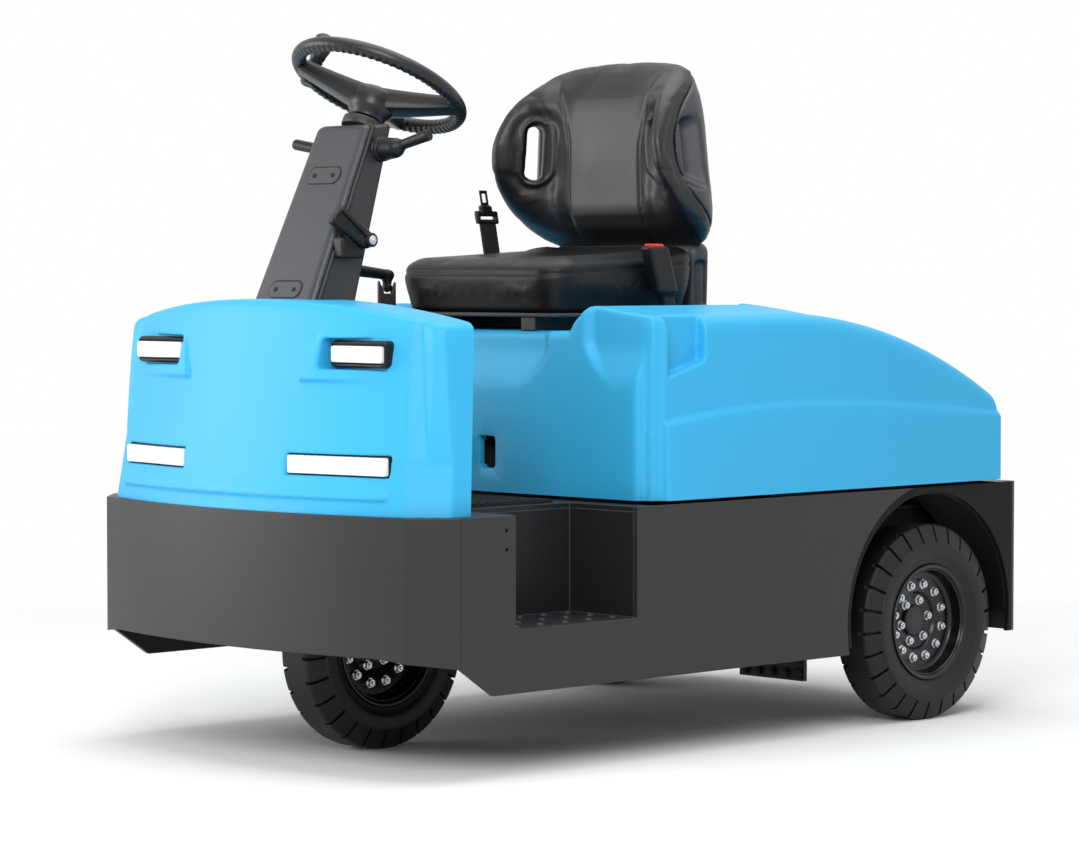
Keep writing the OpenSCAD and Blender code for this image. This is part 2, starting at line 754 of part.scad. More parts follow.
// One-sided fork: trunnion in the bearing, crown over the tyre, leg and stub axle
module steer_fork() color(dark_grey) translate([0, axle_f, 0]) {
    crown_top = deck_under - bearing_h - 0.5;
    crown_t = 18;
    leg_x = -tyre_w / 2 - leg_gap - leg_t;
    translate([0, 0, crown_top - eps]) cylinder(r = bearing_r / 2, h = bearing_h - 2);
    plan(crown_top - crown_t, crown_t) {
        circle(r = bearing_r);
        translate([leg_x, -70]) square([-leg_x, 140]);
    }
    yz(leg_x, leg_t) {
        polygon([[-70, crown_top - crown_t], [70, crown_top - crown_t], [45, tyre_r], [-45, tyre_r]]);
        translate([0, tyre_r]) circle(r = 45);
    }
    translate([leg_x + leg_t - 2, 0, tyre_r]) rotate([0, 90, 0])
        cylinder(r = stub_r, h = -leg_x - leg_t + 2 + hub_x);
}

tyre_shoulder = 12;
sidewall_r = 170;
groove_w = 9;
groove_deep = 14;
groove_in = 22;

// Solid tyre with a flat sidewall, grooved shoulders that leave lugs, and a bead over the rim
module tyre() color(black) {
    w = tyre_w / 2;
    difference() {
        wheel_turn() polygon([[rim_r, -w + 12], [rim_r + 16, -w + 4], [sidewall_r, -w],
            [tyre_r - tyre_shoulder, -w], [tyre_r, -w + tyre_shoulder],
            [tyre_r, w - tyre_shoulder], [tyre_r - tyre_shoulder, w],
            [sidewall_r, w], [rim_r + 16, w - 4], [rim_r, w - 12]]);
        for (i = [0:lugs - 1], side = [-1, 1]) rotate([(i + side / 4) * 360 / lugs, 0, 0])
            translate([side * w, 0, tyre_r]) cube([2 * groove_in, groove_w, 2 * groove_deep], center = true);
    }
}

disc_x = 8;
hub_x = -2;
hub_deep = 30;

// Deep rim: the flange, the dish with its ring of wheel nuts, and the hub set in further, bored for its axle
module rim(bore) color(black) wheel_turn() {
    w = tyre_w / 2;
    barrel = rim_r - 10;
    polygon([[rim_r, -w + 12], [rim_r, w - 12], [rim_r - 4, w - 6], [barrel, w - 6], [barrel, disc_x],
        [hub_r + 4, disc_x], [hub_r, hub_x], [bore, hub_x], [bore, -hub_deep], [hub_r, -hub_deep],
        [hub_r, -6], [barrel, -6], [barrel, -w + 6], [rim_r - 4, -w + 6]]);
}

module front_rim() translate([0, axle_f, tyre_r]) rim(stub_r + fit);
module front_tyre() translate([0, axle_f, tyre_r]) tyre();
module rear_rim_left() translate([rear_wheel_x, axle_r, tyre_r]) rim(spindle_r + fit);
module rear_tyre_left() translate([rear_wheel_x, axle_r, tyre_r]) tyre();
module rear_rim_right() mirror([1, 0, 0]) rear_rim_left();
module rear_tyre_right() mirror([1, 0, 0]) rear_tyre_left();

// Steering wheel

spoke_angles = [57, 215, 335];
wheel_dish = 34;
spoke_w = 58;
spoke_in = 24;
hub_low = wheel_dish + 12;

// Places children in the steering wheel's plane, with z along the shaft
module on_shaft() translate(wheel_centre) rotate([-shaft_lean, 0, 0]) children();

module steering_wheel() color(black) on_shaft() {
    mid = wheel_rim_r - grip_r;
    rotate_extrude($fn = smooth_fn) translate([mid, 0]) circle(r = grip_r, $fn = 32);
    translate([0, 0, -hub_low]) cylinder(r = 42, h = 30);
    for (a = spoke_angles) rotate([0, 0, a]) intersection() {
        xz(-spoke_w / 2, spoke_w) polygon([[spoke_in, -wheel_dish - 8], [mid - 1, -7], [mid - 1, 5],
            [spoke_in, -wheel_dish + 10]]);
        plan(-hub_low, 2 * hub_low) polygon([[spoke_in, -spoke_w / 2], [mid, -spoke_w / 3],
            [mid, spoke_w / 3], [spoke_in, spoke_w / 2]]);
    }
}

knob_angle = 130;

module spinner_knob() color(black) on_shaft() rotate([0, 0, knob_angle]) {
    translate([wheel_rim_r - grip_r, 0, grip_r + run_gap]) {
        cylinder(r = 9, h = 14);
        translate([0, 0, 14]) cylinder(r1 = 17, r2 = 19, h = 24);
    }
}

// Hood

crown_drop = 24;
bulge_step = 10;
shoulder_r = 34;
tail_drop_r = 1400;
tail_from = 400;
front_round = 10;
tail_round = 40;
tail_lip = 60;
corner_steps = 8;

// Columns of a hood station: distance behind the front wall, draw-in of the sides, drop of the top
AT = 0;
PULL = 1;
DROP = 2;

// Height of the hood's crown at a distance behind its front wall
function hood_crest(d) = deck_z + hood_h
    - (d < tail_from ? 0 : tail_drop_r - sqrt(pow(tail_drop_r, 2) - pow(d - tail_from, 2)));

// Height of the line where the lower band of the hood stands proud
function band_line(d) = deck_z + 148 + 40 * sin(180 * pow(min(1, max(0, d / hood_len)), 0.8));

// Stations of the hood: the fluted front corner, the long middle and the round tail
function hood_stations() = concat(
    [for (i = [0:corner_steps]) let (q = i / corner_steps, dip = flute_depth * pow(sin(360 * q), 2) / sqrt(2))
        [hood_corner * q + dip, hood_corner * (1 - q) + dip, front_round * pow(1 - q, 2)]],
    [for (d = [80:80:hood_len - 90]) [d, 0, 0]],
    [for (a = [0:22.5:90])
        [hood_len - tail_round * (1 - sin(a)), tail_round * (1 - cos(a)), tail_lip * (1 - cos(a))]]
);

// Right half of the hood's section, from its foot to the crown
function hood_half(d, pull, drop, inset) =
    let (
        w = half_w - pull - inset,
        top = hood_crest(d) - drop - inset,
        edge = top - crown_drop,
        r = shoulder_r,
        band = min(band_line(d), edge - r - 40),
        upper = w - bulge_step - 6
    )
    concat(
        [[w, hood_z - (inset > 0 ? 2 : 0)], [w, band - 8], [w - bulge_step, band + 8]],
        [for (a = [0:22.5:90]) [upper - r * (1 - cos(a)), edge - r * (1 - sin(a))]],
        [[seat_well_w + 20, top - 4], [seat_well_w - 40, top]]
    );

module hood_body(inset) skin([for (s = hood_stations()) let (
        y = hood_y + inset + s[AT] * (hood_len - 2 * inset) / hood_len
    )
    [for (p = both_sides(hood_half(s[AT], s[PULL], s[DROP], inset))) [p[0], y, p[1]]]]);

seat_well_l = 500;
tray_l = 200;
tray_rise = 14;

// Section of the seat well and of the tray behind it, from a floor height up past the crown
module well_section(half, floor_z) {
    top = deck_z + hood_h;
    polygon([[-half - 46, top + 20], [-half - 26, top - 20], [-half, floor_z],
        [half, floor_z], [half + 26, top - 20], [half + 46, top + 20]]);
}

patch_half = 215;
patch_z = 204;
shoulder_patch = [330, 474];
patch_lean = 14;
patch_h = 240;

// Leaning patches at the top of the front wall: one under the seat and one on each shoulder
module front_patch(x0, x1, grow) yz(x0 - grow, x1 - x0 + 2 * grow) {
    y0 = hood_y + grow;
    z0 = deck_z + patch_z - grow;
    z1 = z0 + patch_h;
    polygon([[hood_y - 1, z0], [y0, z0], [y0 + patch_h * tan(patch_lean), z1], [hood_y - 1, z1]]);
}

pocket_y = 56;
pocket_l = 105;
pocket_z = 252;
pocket_rise = 30;

// Hand pocket in each side, open to the top, its floor rising to the rear
module hand_pocket(grow) {
    y0 = hood_y + pocket_y - grow;
    y1 = hood_y + pocket_y + pocket_l + grow;
    z0 = deck_z + pocket_z - grow;
    top = deck_z + hood_h + 20;
    for (side = [-1, 1]) mirror([side > 0 ? 0 : 1, 0, 0])
        yz(half_w - pocket_depth - grow, pocket_depth + grow + 1) polygon([[y0, z0 + 12], [y0 + 12, z0],
            [y1, z0 + pocket_rise], [y1, top], [y0, top]]);
}

// All that is taken out of the hood's block from above and from the front, grown for the inner wall
module hood_wells(grow) {
    xz(hood_y - 1, seat_well_l + 1 + grow) well_section(seat_well_w + grow, seat_deck_z - grow);
    xz(hood_y + seat_well_l - 1, tray_l + 1 + grow)
        well_section(seat_well_w - 20 + grow, seat_deck_z + tray_rise - grow);
    front_patch(-patch_half, patch_half, grow);
    for (side = [-1, 1]) mirror([side > 0 ? 0 : 1, 0, 0])
        front_patch(shoulder_patch[0], shoulder_patch[1], grow);
    hand_pocket(grow);
}

wall_slot = [47, 66];
wall_slot_at = [52, 88];
dimple_r = 14;
dimple_z = 144;

module hood() color(blue) difference() {
    hood_body(0);
    hood_wells(0);
    difference() {
        hood_body(wall);
        hood_wells(wall);
    }
    xz(hood_y - 1, wall + 2) translate([wall_slot_at[0], deck_z + wall_slot_at[1]]) round_rect(wall_slot, 8);
    dimple_at = hood_corner / 2 - 8;
    for (side = [-1, 1]) translate([side * (half_w - dimple_at), hood_y + dimple_at, deck_z + dimple_z])
        sphere(r = dimple_r);
}

// Moving half of each hinge: a leaf on the hood's rear wall and the middle knuckle
module hinge_leaf() color(dark_grey) for (side = [-1, 1]) translate([side * hinge_x, 0, 0]) difference() {
    end = hinge_w / 2;
    inner = hinge_w / 6;
    union() {
        block([-end, hood_end, hinge_axis[1] - 2], [end, hood_end + hinge_t, hinge_axis[1] + 34]);
        block([-inner, hood_end, hinge_axis[1]], [inner, hinge_axis[0], hinge_axis[1] + hinge_r]);
        hinge_bar(-inner, inner, hinge_r);
    }
    hinge_bar(-inner - 1, inner + 1, hinge_pin_r + fit);
}

// Seat

rail_h = 26;
rail_x = 150;
pan_t = 10;
cushion_y = hood_y + 3;
cushion_z = seat_deck_z + rail_h + pan_t;

module seat_rails() color(black) for (side = [-1, 1]) translate([side * rail_x, 0, 0])
    block([-20, cushion_y + 20, seat_deck_z], [20, cushion_y + cushion_l - 40, seat_deck_z + rail_h]);

cushion_rise = 24;
back_over = 43;
back_foot = [0, cushion_y + cushion_l - back_over, cushion_z + cushion_h + cushion_rise + 2];

// Pan under the cushion and the shell that carries the backrest
module seat_shell() color(black) {
    w = cushion_w / 2 - 12;
    pan_z = seat_deck_z + rail_h;
    shell_y = cushion_y + cushion_l + 4;
    shell_l = back_foot[1] + back_t - shell_y;
    block([-w, cushion_y + 8, pan_z], [w, shell_y + shell_l / 2, pan_z + pan_t]);
    plan(pan_z, back_foot[2] - pan_z - back_t * tan(back_lean) - run_gap)
        translate([0, shell_y + shell_l / 2]) round_rect([2 * w - 60, shell_l], shell_l / 3);
}

cushion_corner = 60;
front_roll = 40;
rear_roll = 24;
foot_roll = 14;

// Pad with round corners, its top rising to the rear and rolled over at the front
module seat_cushion() color(black) intersection() {
    y0 = cushion_y;
    y1 = cushion_y + cushion_l;
    top = cushion_z + cushion_h;
    plan(cushion_z, cushion_h + cushion_rise)
        translate([0, (y0 + y1) / 2]) round_rect([cushion_w, cushion_l], cushion_corner);
    yz(-cushion_w, 2 * cushion_w) hull() {
        for (y = [y0 + foot_roll, y1 - foot_roll])
            translate([y, cushion_z + foot_roll]) circle(r = foot_roll, $fn = 24);
        translate([y0 + front_roll, top - front_roll]) circle(r = front_roll, $fn = 48);
        translate([y1 - rear_roll, top + cushion_rise - rear_roll]) circle(r = rear_roll, $fn = 32);
    }
}

// Backrest by shares of its height: half width, and front edge of its wings from the middle panel's face
RISE = 0;
HALF = 1;
EDGE = 2;
back_rows = [[0, 240, 76], [0.06, 262, 52], [0.12, 269, 30], [0.165, 271, -3], [0.215, 271, -33],
    [0.305, 266, -73], [0.405, 258, -93], [0.55, 249, -95], [0.65, 243, -85], [0.73, 236, -65],
    [0.8, 227, -33], [0.875, 212, 2], [0.925, 200, 10], [0.962, 176, 14], [0.985, 136, 18], [1, 70, 24]];
back_half = 271;
back_round = 88;
cup_round = 130;
wing_t = 26;

// Grip hole: place from the foot of the backrest, with its height as a share, and its size
hole_x = 222;
hole_y = -15;
hole_share = 0.51;
hole_turn = 25;
hole_l = 125;
hole_w = 46;

// Plan of the backrest: the outer shell, rounded at the back, less the cup that holds the driver's back
module back_plan() difference() {
    hull() for (x = [-1, 1]) {
        translate([x * (back_half - back_round), back_t - back_round]) circle(r = back_round, $fn = 96);
        translate([x * (back_half - 1), -back_half]) square(2, center = true);
    }
    hull() for (x = [-1, 1]) {
        translate([x * (back_half - wing_t - cup_round), -cup_round]) circle(r = cup_round, $fn = 120);
        translate([x * (back_half - wing_t - 1), -back_half - 10]) square(2, center = true);
    }
}

// Winged backrest with a grip hole through each wing
module seat_back() color(black) translate(back_foot) rotate([-back_lean, 0, 0]) difference() {
    intersection() {
        linear_extrude(back_h) back_plan();
        xz(-back_half, 2 * back_half) polygon(concat([for (row = back_rows) [row[HALF], row[RISE] * back_h]],
            [for (i = [len(back_rows) - 1:-1:0]) [-back_rows[i][HALF], back_rows[i][RISE] * back_h]]));
        yz(-back_half, 2 * back_half) polygon(concat([for (row = back_rows) [row[EDGE], row[RISE] * back_h]],
            [[back_t + 10, back_h], [back_t + 10, 0]]));
    }
    for (side = [-1, 1]) mirror([side > 0 ? 0 : 1, 0, 0]) translate([hole_x, hole_y, hole_share * back_h])
        rotate([0, 0, hole_turn]) rotate([0, 90, 0])
            linear_extrude(back_half, center = true) slot(hole_l, hole_w);
}

module belt_buckle() color(black) {
    x = cushion_w / 2 + 6;
    y = cushion_y + cushion_l - 130;
    block([x, y, seat_deck_z], [x + 26, y + 34, cushion_z + cushion_h + 34]);
}

module belt_tongue() color(black) {
    x = -cushion_w / 2 - 20;
    y = cushion_y + cushion_l - 150;
    block([x, y, seat_deck_z], [x + 8, y + 46, cushion_z + cushion_h + 60]);
}

front_bumper();
side_panel_left();
side_panel_right();
floor_deck();
floor_mat();
step_well_left();
step_well_right();
main_frame();
rear_plate();
wheel_arch_left();
wheel_arch_right();
cowl();
dash_panel();
lamp_housings();
lamp_lenses();
steering_column();
column_covers();
control_levers();
paddle_handle();
hand_brake();
pedals();
battery();
drive_axle();
axle_brackets();
tow_coupling();
tow_pin();
rear_lamps();
hinge_base();
steer_bearing();
steer_fork();
front_rim();
front_tyre();
rear_rim_left();
rear_tyre_left();
rear_rim_right();
rear_tyre_right();
steering_wheel();
spinner_knob();
hood();
hinge_leaf();
seat_rails();
seat_shell();
seat_cushion();
seat_back();
belt_buckle();
belt_tongue();
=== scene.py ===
import bpy
import bmesh
import math
import numpy as np
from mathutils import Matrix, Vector


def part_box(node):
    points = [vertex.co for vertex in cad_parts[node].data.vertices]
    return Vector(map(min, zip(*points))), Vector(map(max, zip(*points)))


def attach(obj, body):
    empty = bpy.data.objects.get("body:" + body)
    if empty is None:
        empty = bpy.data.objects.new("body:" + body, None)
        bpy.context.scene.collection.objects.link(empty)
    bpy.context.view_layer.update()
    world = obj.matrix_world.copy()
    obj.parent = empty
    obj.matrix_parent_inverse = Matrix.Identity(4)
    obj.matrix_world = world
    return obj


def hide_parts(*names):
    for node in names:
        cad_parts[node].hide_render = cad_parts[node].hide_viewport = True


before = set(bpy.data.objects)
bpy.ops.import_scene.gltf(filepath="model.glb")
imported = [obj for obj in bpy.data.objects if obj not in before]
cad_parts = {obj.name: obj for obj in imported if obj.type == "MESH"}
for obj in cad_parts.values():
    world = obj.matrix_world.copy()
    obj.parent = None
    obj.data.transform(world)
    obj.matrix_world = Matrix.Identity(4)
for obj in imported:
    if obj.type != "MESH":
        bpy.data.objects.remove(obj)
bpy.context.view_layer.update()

# The viewpoint: a long lens in front of the tractor's left corner, a little above the
# seat, level with the horizon but for a small downward tilt.
camera_data = bpy.data.cameras.new("viewpoint")
camera_data.sensor_fit = "HORIZONTAL"
camera_data.sensor_width = 36
camera_data.lens = 119.59
camera = bpy.data.objects.new("viewpoint", camera_data)
camera.location = (5.33088, -5.32653, 0.95976)
camera.rotation_euler = (math.radians(90 - 2.62), 0, math.radians(45.56))
bpy.context.scene.collection.objects.link(camera)
bpy.context.scene.camera = camera
bpy.context.scene.view_settings.view_transform = "Standard"

# The chassis plates: folded and welded steel plate round the nose and along the sides, powder coated
# dark grey with a fine orange peel and rolled-over edges. The rear arches have a matt undercoat, and
# the bumper's lower edge is raised between its two corner facets.


def group_sockets(group, inputs, outputs):
    """Named sockets of a node group, with each input's kind and starting value."""
    for label, value in inputs.items():
        kind = "NodeSocketColor" if isinstance(value, tuple) else "NodeSocketFloat"
        group.interface.new_socket(label, in_out="INPUT", socket_type=kind).default_value = value
    for label, kind in outputs.items():
        group.interface.new_socket(label, in_out="OUTPUT", socket_type=kind)
    return group.nodes.new("NodeGroupInput"), group.nodes.new("NodeGroupOutput")


def linear(hexa):
    """A hex colour as the linear colour a shader takes."""
    parts = [int(hexa[i:i + 2], 16) / 255 for i in (1, 3, 5)]
    return tuple(c / 12.92 if c <= 0.04045 else ((c + 0.055) / 1.055) ** 2.4 for c in parts) + (1.0,)


def maths(tree, kind, *terms):
    """A math node, each of its terms a number or another node's output."""
    node = tree.nodes.new("ShaderNodeMath")
    node.operation = kind
    for socket, term in zip(node.inputs, terms):
        if isinstance(term, (int, float)):
            socket.default_value = term
        else:
            tree.links.new(term, socket)
    return node.outputs[0]


# Shader group: broad tone patches and a fine grain that any finish may use
surface_grain = bpy.data.node_groups.new("surface_grain", "ShaderNodeTree")
given, made = group_sockets(
    surface_grain,
    {"Colour": (0.5, 0.5, 0.5, 1.0), "Tone spread": 0.08, "Patch scale": 6.0, "Grain scale": 700.0,
     "Roughness": 0.5, "Roughness spread": 0.1},
    {"Colour": "NodeSocketColor", "Roughness": "NodeSocketFloat", "Height": "NodeSocketFloat"},
)
link = surface_grain.links.new
place = surface_grain.nodes.new("ShaderNodeTexCoord")
patches = surface_grain.nodes.new("ShaderNodeTexNoise")
patches.inputs["Detail"].default_value = 5
link(place.outputs["Object"], patches.inputs["Vector"])
link(given.outputs["Patch scale"], patches.inputs["Scale"])
centred = maths(surface_grain, "MULTIPLY_ADD", patches.outputs["Fac"], 2.0, -1.0)
toned = surface_grain.nodes.new("ShaderNodeVectorMath")
toned.operation = "SCALE"
link(given.outputs["Colour"], toned.inputs[0])
link(maths(surface_grain, "MULTIPLY_ADD", centred, given.outputs["Tone spread"], 1.0),
     toned.inputs["Scale"])
link(toned.outputs[0], made.inputs["Colour"])
gloss = maths(surface_grain, "MULTIPLY_ADD", centred, given.outputs["Roughness spread"],
              given.outputs["Roughness"])
link(gloss, made.inputs["Roughness"])
fine = surface_grain.nodes.new("ShaderNodeTexNoise")
fine.inputs["Detail"].default_value = 3
link(place.outputs["Object"], fine.inputs["Vector"])
link(given.outputs["Grain scale"], fine.inputs["Scale"])
link(fine.outputs["Fac"], made.inputs["Height"])

# Shader group: edges that are rolled over in the light, and a mask of where hands and boots rub them
eased_edge = bpy.data.node_groups.new("eased_edge", "ShaderNodeTree")
given, made = group_sockets(
    eased_edge, {"Radius": 0.003}, {"Normal": "NodeSocketVector", "Rubbed": "NodeSocketFloat"}
)
link = eased_edge.links.new
rolled = eased_edge.nodes.new("ShaderNodeBevel")
rolled.samples = 6
link(given.outputs["Radius"], rolled.inputs["Radius"])
link(rolled.outputs["Normal"], made.inputs["Normal"])
facing = eased_edge.nodes.new("ShaderNodeNewGeometry")
agree = eased_edge.nodes.new("ShaderNodeVectorMath")
agree.operation = "DOT_PRODUCT"
link(rolled.outputs["Normal"], agree.inputs[0])
link(facing.outputs["True Normal"], agree.inputs[1])
rub = eased_edge.nodes.new("ShaderNodeMapRange")
rub.inputs["From Min"].default_value = 0.98
rub.inputs["From Max"].default_value = 0.80
link(agree.outputs["Value"], rub.inputs["Value"])
link(rub.outputs["Result"], made.inputs["Rubbed"])


def finish(name, colour, roughness, tone=0.08, patch=6.0, grain=700.0, bump=0.15, depth=0.0004,
           rough_spread=0.08, edge=0.003, rub=0.0, rub_colour="#9a9a9c", metallic=0.0, coat=0.0,
           specular=0.5):
    """A painted, moulded or bare surface: tone patches, grain in relief and eased edges."""
    material = bpy.data.materials.new(name)
    material.use_nodes = True
    tree = material.node_tree
    shader = tree.nodes["Principled BSDF"]
    shader.inputs["Metallic"].default_value = metallic
    shader.inputs["Coat Weight"].default_value = coat
    shader.inputs["Coat Roughness"].default_value = 0.15
    shader.inputs["Specular IOR Level"].default_value = specular
    skin = tree.nodes.new("ShaderNodeGroup")
    skin.node_tree = surface_grain
    looks = {"Colour": linear(colour), "Tone spread": tone, "Patch scale": patch, "Grain scale": grain,
             "Roughness": roughness, "Roughness spread": rough_spread}
    for label, value in looks.items():
        skin.inputs[label].default_value = value
    edges = tree.nodes.new("ShaderNodeGroup")
    edges.node_tree = eased_edge
    edges.inputs["Radius"].default_value = edge
    relief = tree.nodes.new("ShaderNodeBump")
    relief.inputs["Strength"].default_value = bump
    relief.inputs["Distance"].default_value = depth
    tree.links.new(skin.outputs["Height"], relief.inputs["Height"])
    tree.links.new(edges.outputs["Normal"], relief.inputs["Normal"])
    tree.links.new(relief.outputs["Normal"], shader.inputs["Normal"])
    tree.links.new(skin.outputs["Roughness"], shader.inputs["Roughness"])
    worn = tree.nodes.new("ShaderNodeMix")
    worn.data_type = "RGBA"
    worn.inputs[7].default_value = linear(rub_colour)
    tree.links.new(maths(tree, "MULTIPLY", edges.outputs["Rubbed"], rub), worn.inputs[0])
    tree.links.new(skin.outputs["Colour"], worn.inputs[6])
    tree.links.new(worn.outputs[2], shader.inputs["Base Color"])
    return material


def dress(material, *names):
    """CAD nodes whose shape is right take the finish as they are."""
    for name in names:
        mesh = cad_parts[name].data
        mesh.materials.clear()
        mesh.materials.append(material)


chassis_paint = finish("chassis_paint", "#28282a", 0.4, tone=0.06, grain=420, bump=0.12, edge=0.004,
                       rub=0.12,
                       rub_colour="#5a5a5d", specular=0.32)
dress(chassis_paint, "side_panel_left", "side_panel_right", "rear_plate")
arch_coating = finish("arch_coating", "#08080a", 0.6, tone=0.1, grain=260, bump=0.25, edge=0.003,
                      specular=0.2)
dress(arch_coating, "wheel_arch_left", "wheel_arch_right")


def linked(name, data):
    """A new object at the origin, in the scene."""
    thing = bpy.data.objects.new(name, data)
    bpy.context.scene.collection.objects.link(thing)
    return thing


def like_node(name, node):
    """A plain copy of a CAD node's mesh, its loose triangles joined."""
    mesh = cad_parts[node].data.copy()
    mesh.name = name
    joined = bmesh.new()
    joined.from_mesh(mesh)
    bmesh.ops.remove_doubles(joined, verts=joined.verts, dist=1e-6)
    joined.to_mesh(mesh)
    joined.free()
    return linked(name, mesh)


def fit(piece, slot, body, *nodes):
    """Hides the CAD nodes a piece stands for and puts it on the body it rides on; the slot is not used."""
    if nodes:
        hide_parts(*nodes)
    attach(piece, body)


bumper = like_node("bumper_plate", "front_bumper")
BUMPER_LOW, BUMPER_LIFT, FACET_IN, FACET_OUT = 0.215, 0.017, 0.400, 0.521
for corner in bumper.data.vertices:
    if corner.co.z < BUMPER_LOW + 0.001:
        corner.co.z += BUMPER_LIFT * min(1, max(0, (FACET_OUT - abs(corner.co.x)) / (FACET_OUT - FACET_IN)))
bumper.data.materials.clear()
bumper.data.materials.append(chassis_paint)
fit(bumper, "chassis_paint", "chassis", "front_bumper")

# The floor and the steps: a flat steel deck with a ribbed rubber mat, and a boxed step in each
# side whose tread is pressed up in rows of pierced studs for grip.
frame_paint = finish("frame_paint", "#1f1f21", 0.45, tone=0.08, grain=420, bump=0.15, edge=0.003, rub=0.5,
                     rub_colour="#77777b", specular=0.3)
dress(frame_paint, "floor_deck", "step_well_left", "step_well_right")
mat_rubber = finish("mat_rubber", "#1c1d1f", 0.7, specular=0.3, tone=0.12, patch=12, grain=900, bump=0.3,
                    edge=0.002)
dress(mat_rubber, "floor_mat")

# What shows from below: the welded frame, the battery in its steel case, the cast drive axle and
# the brackets that hang from the skirt, each bolted up with a row of hexagon screws.
axle_casting = finish("axle_casting", "#222224", 0.6, specular=0.3, tone=0.15, patch=20, grain=260,
                      bump=0.4, depth=0.0008)
battery_case = finish("battery_case", "#2c2f32", 0.55, specular=0.3, tone=0.1, bump=0.2, edge=0.004,
                      rub=0.2)
dress(frame_paint, "main_frame", "axle_brackets", "steer_bearing", "steer_fork", "hinge_base", "hinge_leaf")
dress(axle_casting, "drive_axle", "tow_coupling")
dress(battery_case, "battery")
zinc_steel = finish("zinc_steel", "#c9ccd0", 0.28, tone=0.1, patch=60, grain=1500, bump=0.08, metallic=1.0,
                    edge=0.001)
dress(zinc_steel, "tow_pin")
lens_red = finish("lens_red", "#a81c1a", 0.16, tone=0.12, patch=90, grain=500, bump=0.2, coat=0.6,
                  edge=0.003)
dress(lens_red, "rear_lamps")


def tree_of(label, sizes):
    """An empty Geometry Nodes tree with its named sizes, and its two end nodes."""
    tree = bpy.data.node_groups.new(label, "GeometryNodeTree")
    tree.interface.new_socket("Geometry", in_out="INPUT", socket_type="NodeSocketGeometry")
    for name, kind in sizes.items():
        tree.interface.new_socket(name, in_out="INPUT", socket_type=kind)
    tree.interface.new_socket("Geometry", in_out="OUTPUT", socket_type="NodeSocketGeometry")
    return tree, tree.nodes.new("NodeGroupInput"), tree.nodes.new("NodeGroupOutput")


# Geometry tree: a hexagon head or nut with a round washer and a domed end, set on every point it is
# given, its foot on the point and its axis along the point's normal
hex_screws, given, made = tree_of("hex_screws", {
    "Across": "NodeSocketFloat", "Head": "NodeSocketFloat", "Stud": "NodeSocketFloat",
    "Finish": "NodeSocketMaterial"})
link = hex_screws.links.new
screw_join = hex_screws.nodes.new("GeometryNodeJoinGeometry")
for label, sides, foot, top, height, share in (("washer", 20, 0.72, 0.70, "Head", 0.22),
                                               ("head", 6, 0.577, 0.55, "Head", 1.0),
                                               ("stud", 14, 0.30, 0.22, "Stud", 1.0)):
    form = hex_screws.nodes.new("GeometryNodeMeshCone")
    form.label = label
    form.inputs["Vertices"].default_value = sides
    for end, source, part in (("Radius Bottom", "Across", foot), ("Radius Top", "Across", top),
                              ("Depth", height, share)):
        link(maths(hex_screws, "MULTIPLY", given.outputs[source], part), form.inputs[end])
    link(form.outputs["Mesh"], screw_join.inputs["Geometry"])
aim = hex_screws.nodes.new("FunctionNodeAlignRotationToVector")
aim.axis = "Z"
normal = hex_screws.nodes.new("GeometryNodeInputNamedAttribute")
normal.data_type = "FLOAT_VECTOR"
normal.inputs["Name"].default_value = "axis"
link(normal.outputs["Attribute"], aim.inputs["Vector"])
set_out = hex_screws.nodes.new("GeometryNodeInstanceOnPoints")
link(given.outputs["Geometry"], set_out.inputs["Points"])
link(screw_join.outputs["Geometry"], set_out.inputs["Instance"])
link(aim.outputs["Rotation"], set_out.inputs["Rotation"])
solid = hex_screws.nodes.new("GeometryNodeRealizeInstances")
link(set_out.outputs["Instances"], solid.inputs["Geometry"])
coated = hex_screws.nodes.new("GeometryNodeSetMaterial")
link(solid.outputs["Geometry"], coated.inputs["Geometry"])
link(given.outputs["Finish"], coated.inputs["Material"])
link(coated.outputs["Geometry"], made.inputs["Geometry"])


def grow(tree, name, points, axes, sizes):
    """Runs a Geometry Nodes tree on points in millimetres and keeps the result as a plain mesh."""
    seed = bpy.data.meshes.new(name + "_points")
    seed.from_pydata([tuple(0.001 * c for c in p) for p in points], [], [])
    slot = seed.attributes.new("axis", "FLOAT_VECTOR", "POINT")
    slot.data.foreach_set("vector", np.array(axes, float).ravel())
    holder = linked(name + "_points", seed)
    modifier = holder.modifiers.new("grow", "NODES")
    modifier.node_group = tree
    for item in tree.interface.items_tree:
        if item.item_type == "SOCKET" and item.in_out == "INPUT" and item.name in sizes:
            modifier[item.identifier] = sizes[item.name]
    graph = bpy.context.evaluated_depsgraph_get()
    mesh = bpy.data.meshes.new_from_object(holder.evaluated_get(graph))
    holder.modifiers.remove(modifier)
    bpy.data.objects.remove(holder)
    mesh.name = name
    return linked(name, mesh)


def shade(mesh, angle):
    """Smooth shading with the folds sharper than an angle left crisp."""
    mesh.shade_smooth()
    mesh.set_sharp_from_angle(angle=math.radians(angle))


screw_black = finish("screw_black", "#0d0d0e", 0.45, specular=0.3, tone=0.1, patch=60, grain=900, bump=0.1,
                     edge=0.001)
low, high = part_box("axle_brackets")
bolt_places = [(250, 114), (288, 114), (326, 114), (364, 114), (401, 114), (401, 146)]
bolt_points = [(side * x, low[1] * 1000, z) for side in (-1, 1) for x, z in bolt_places]
bracket_bolts = grow(hex_screws, "bracket_bolts", bolt_points, [(0, -1, 0)] * len(bolt_points),
                     {"Across": 0.018, "Head": 0.009, "Stud": 0.011, "Finish": screw_black})
fit(bracket_bolts, "black_steel", "chassis")

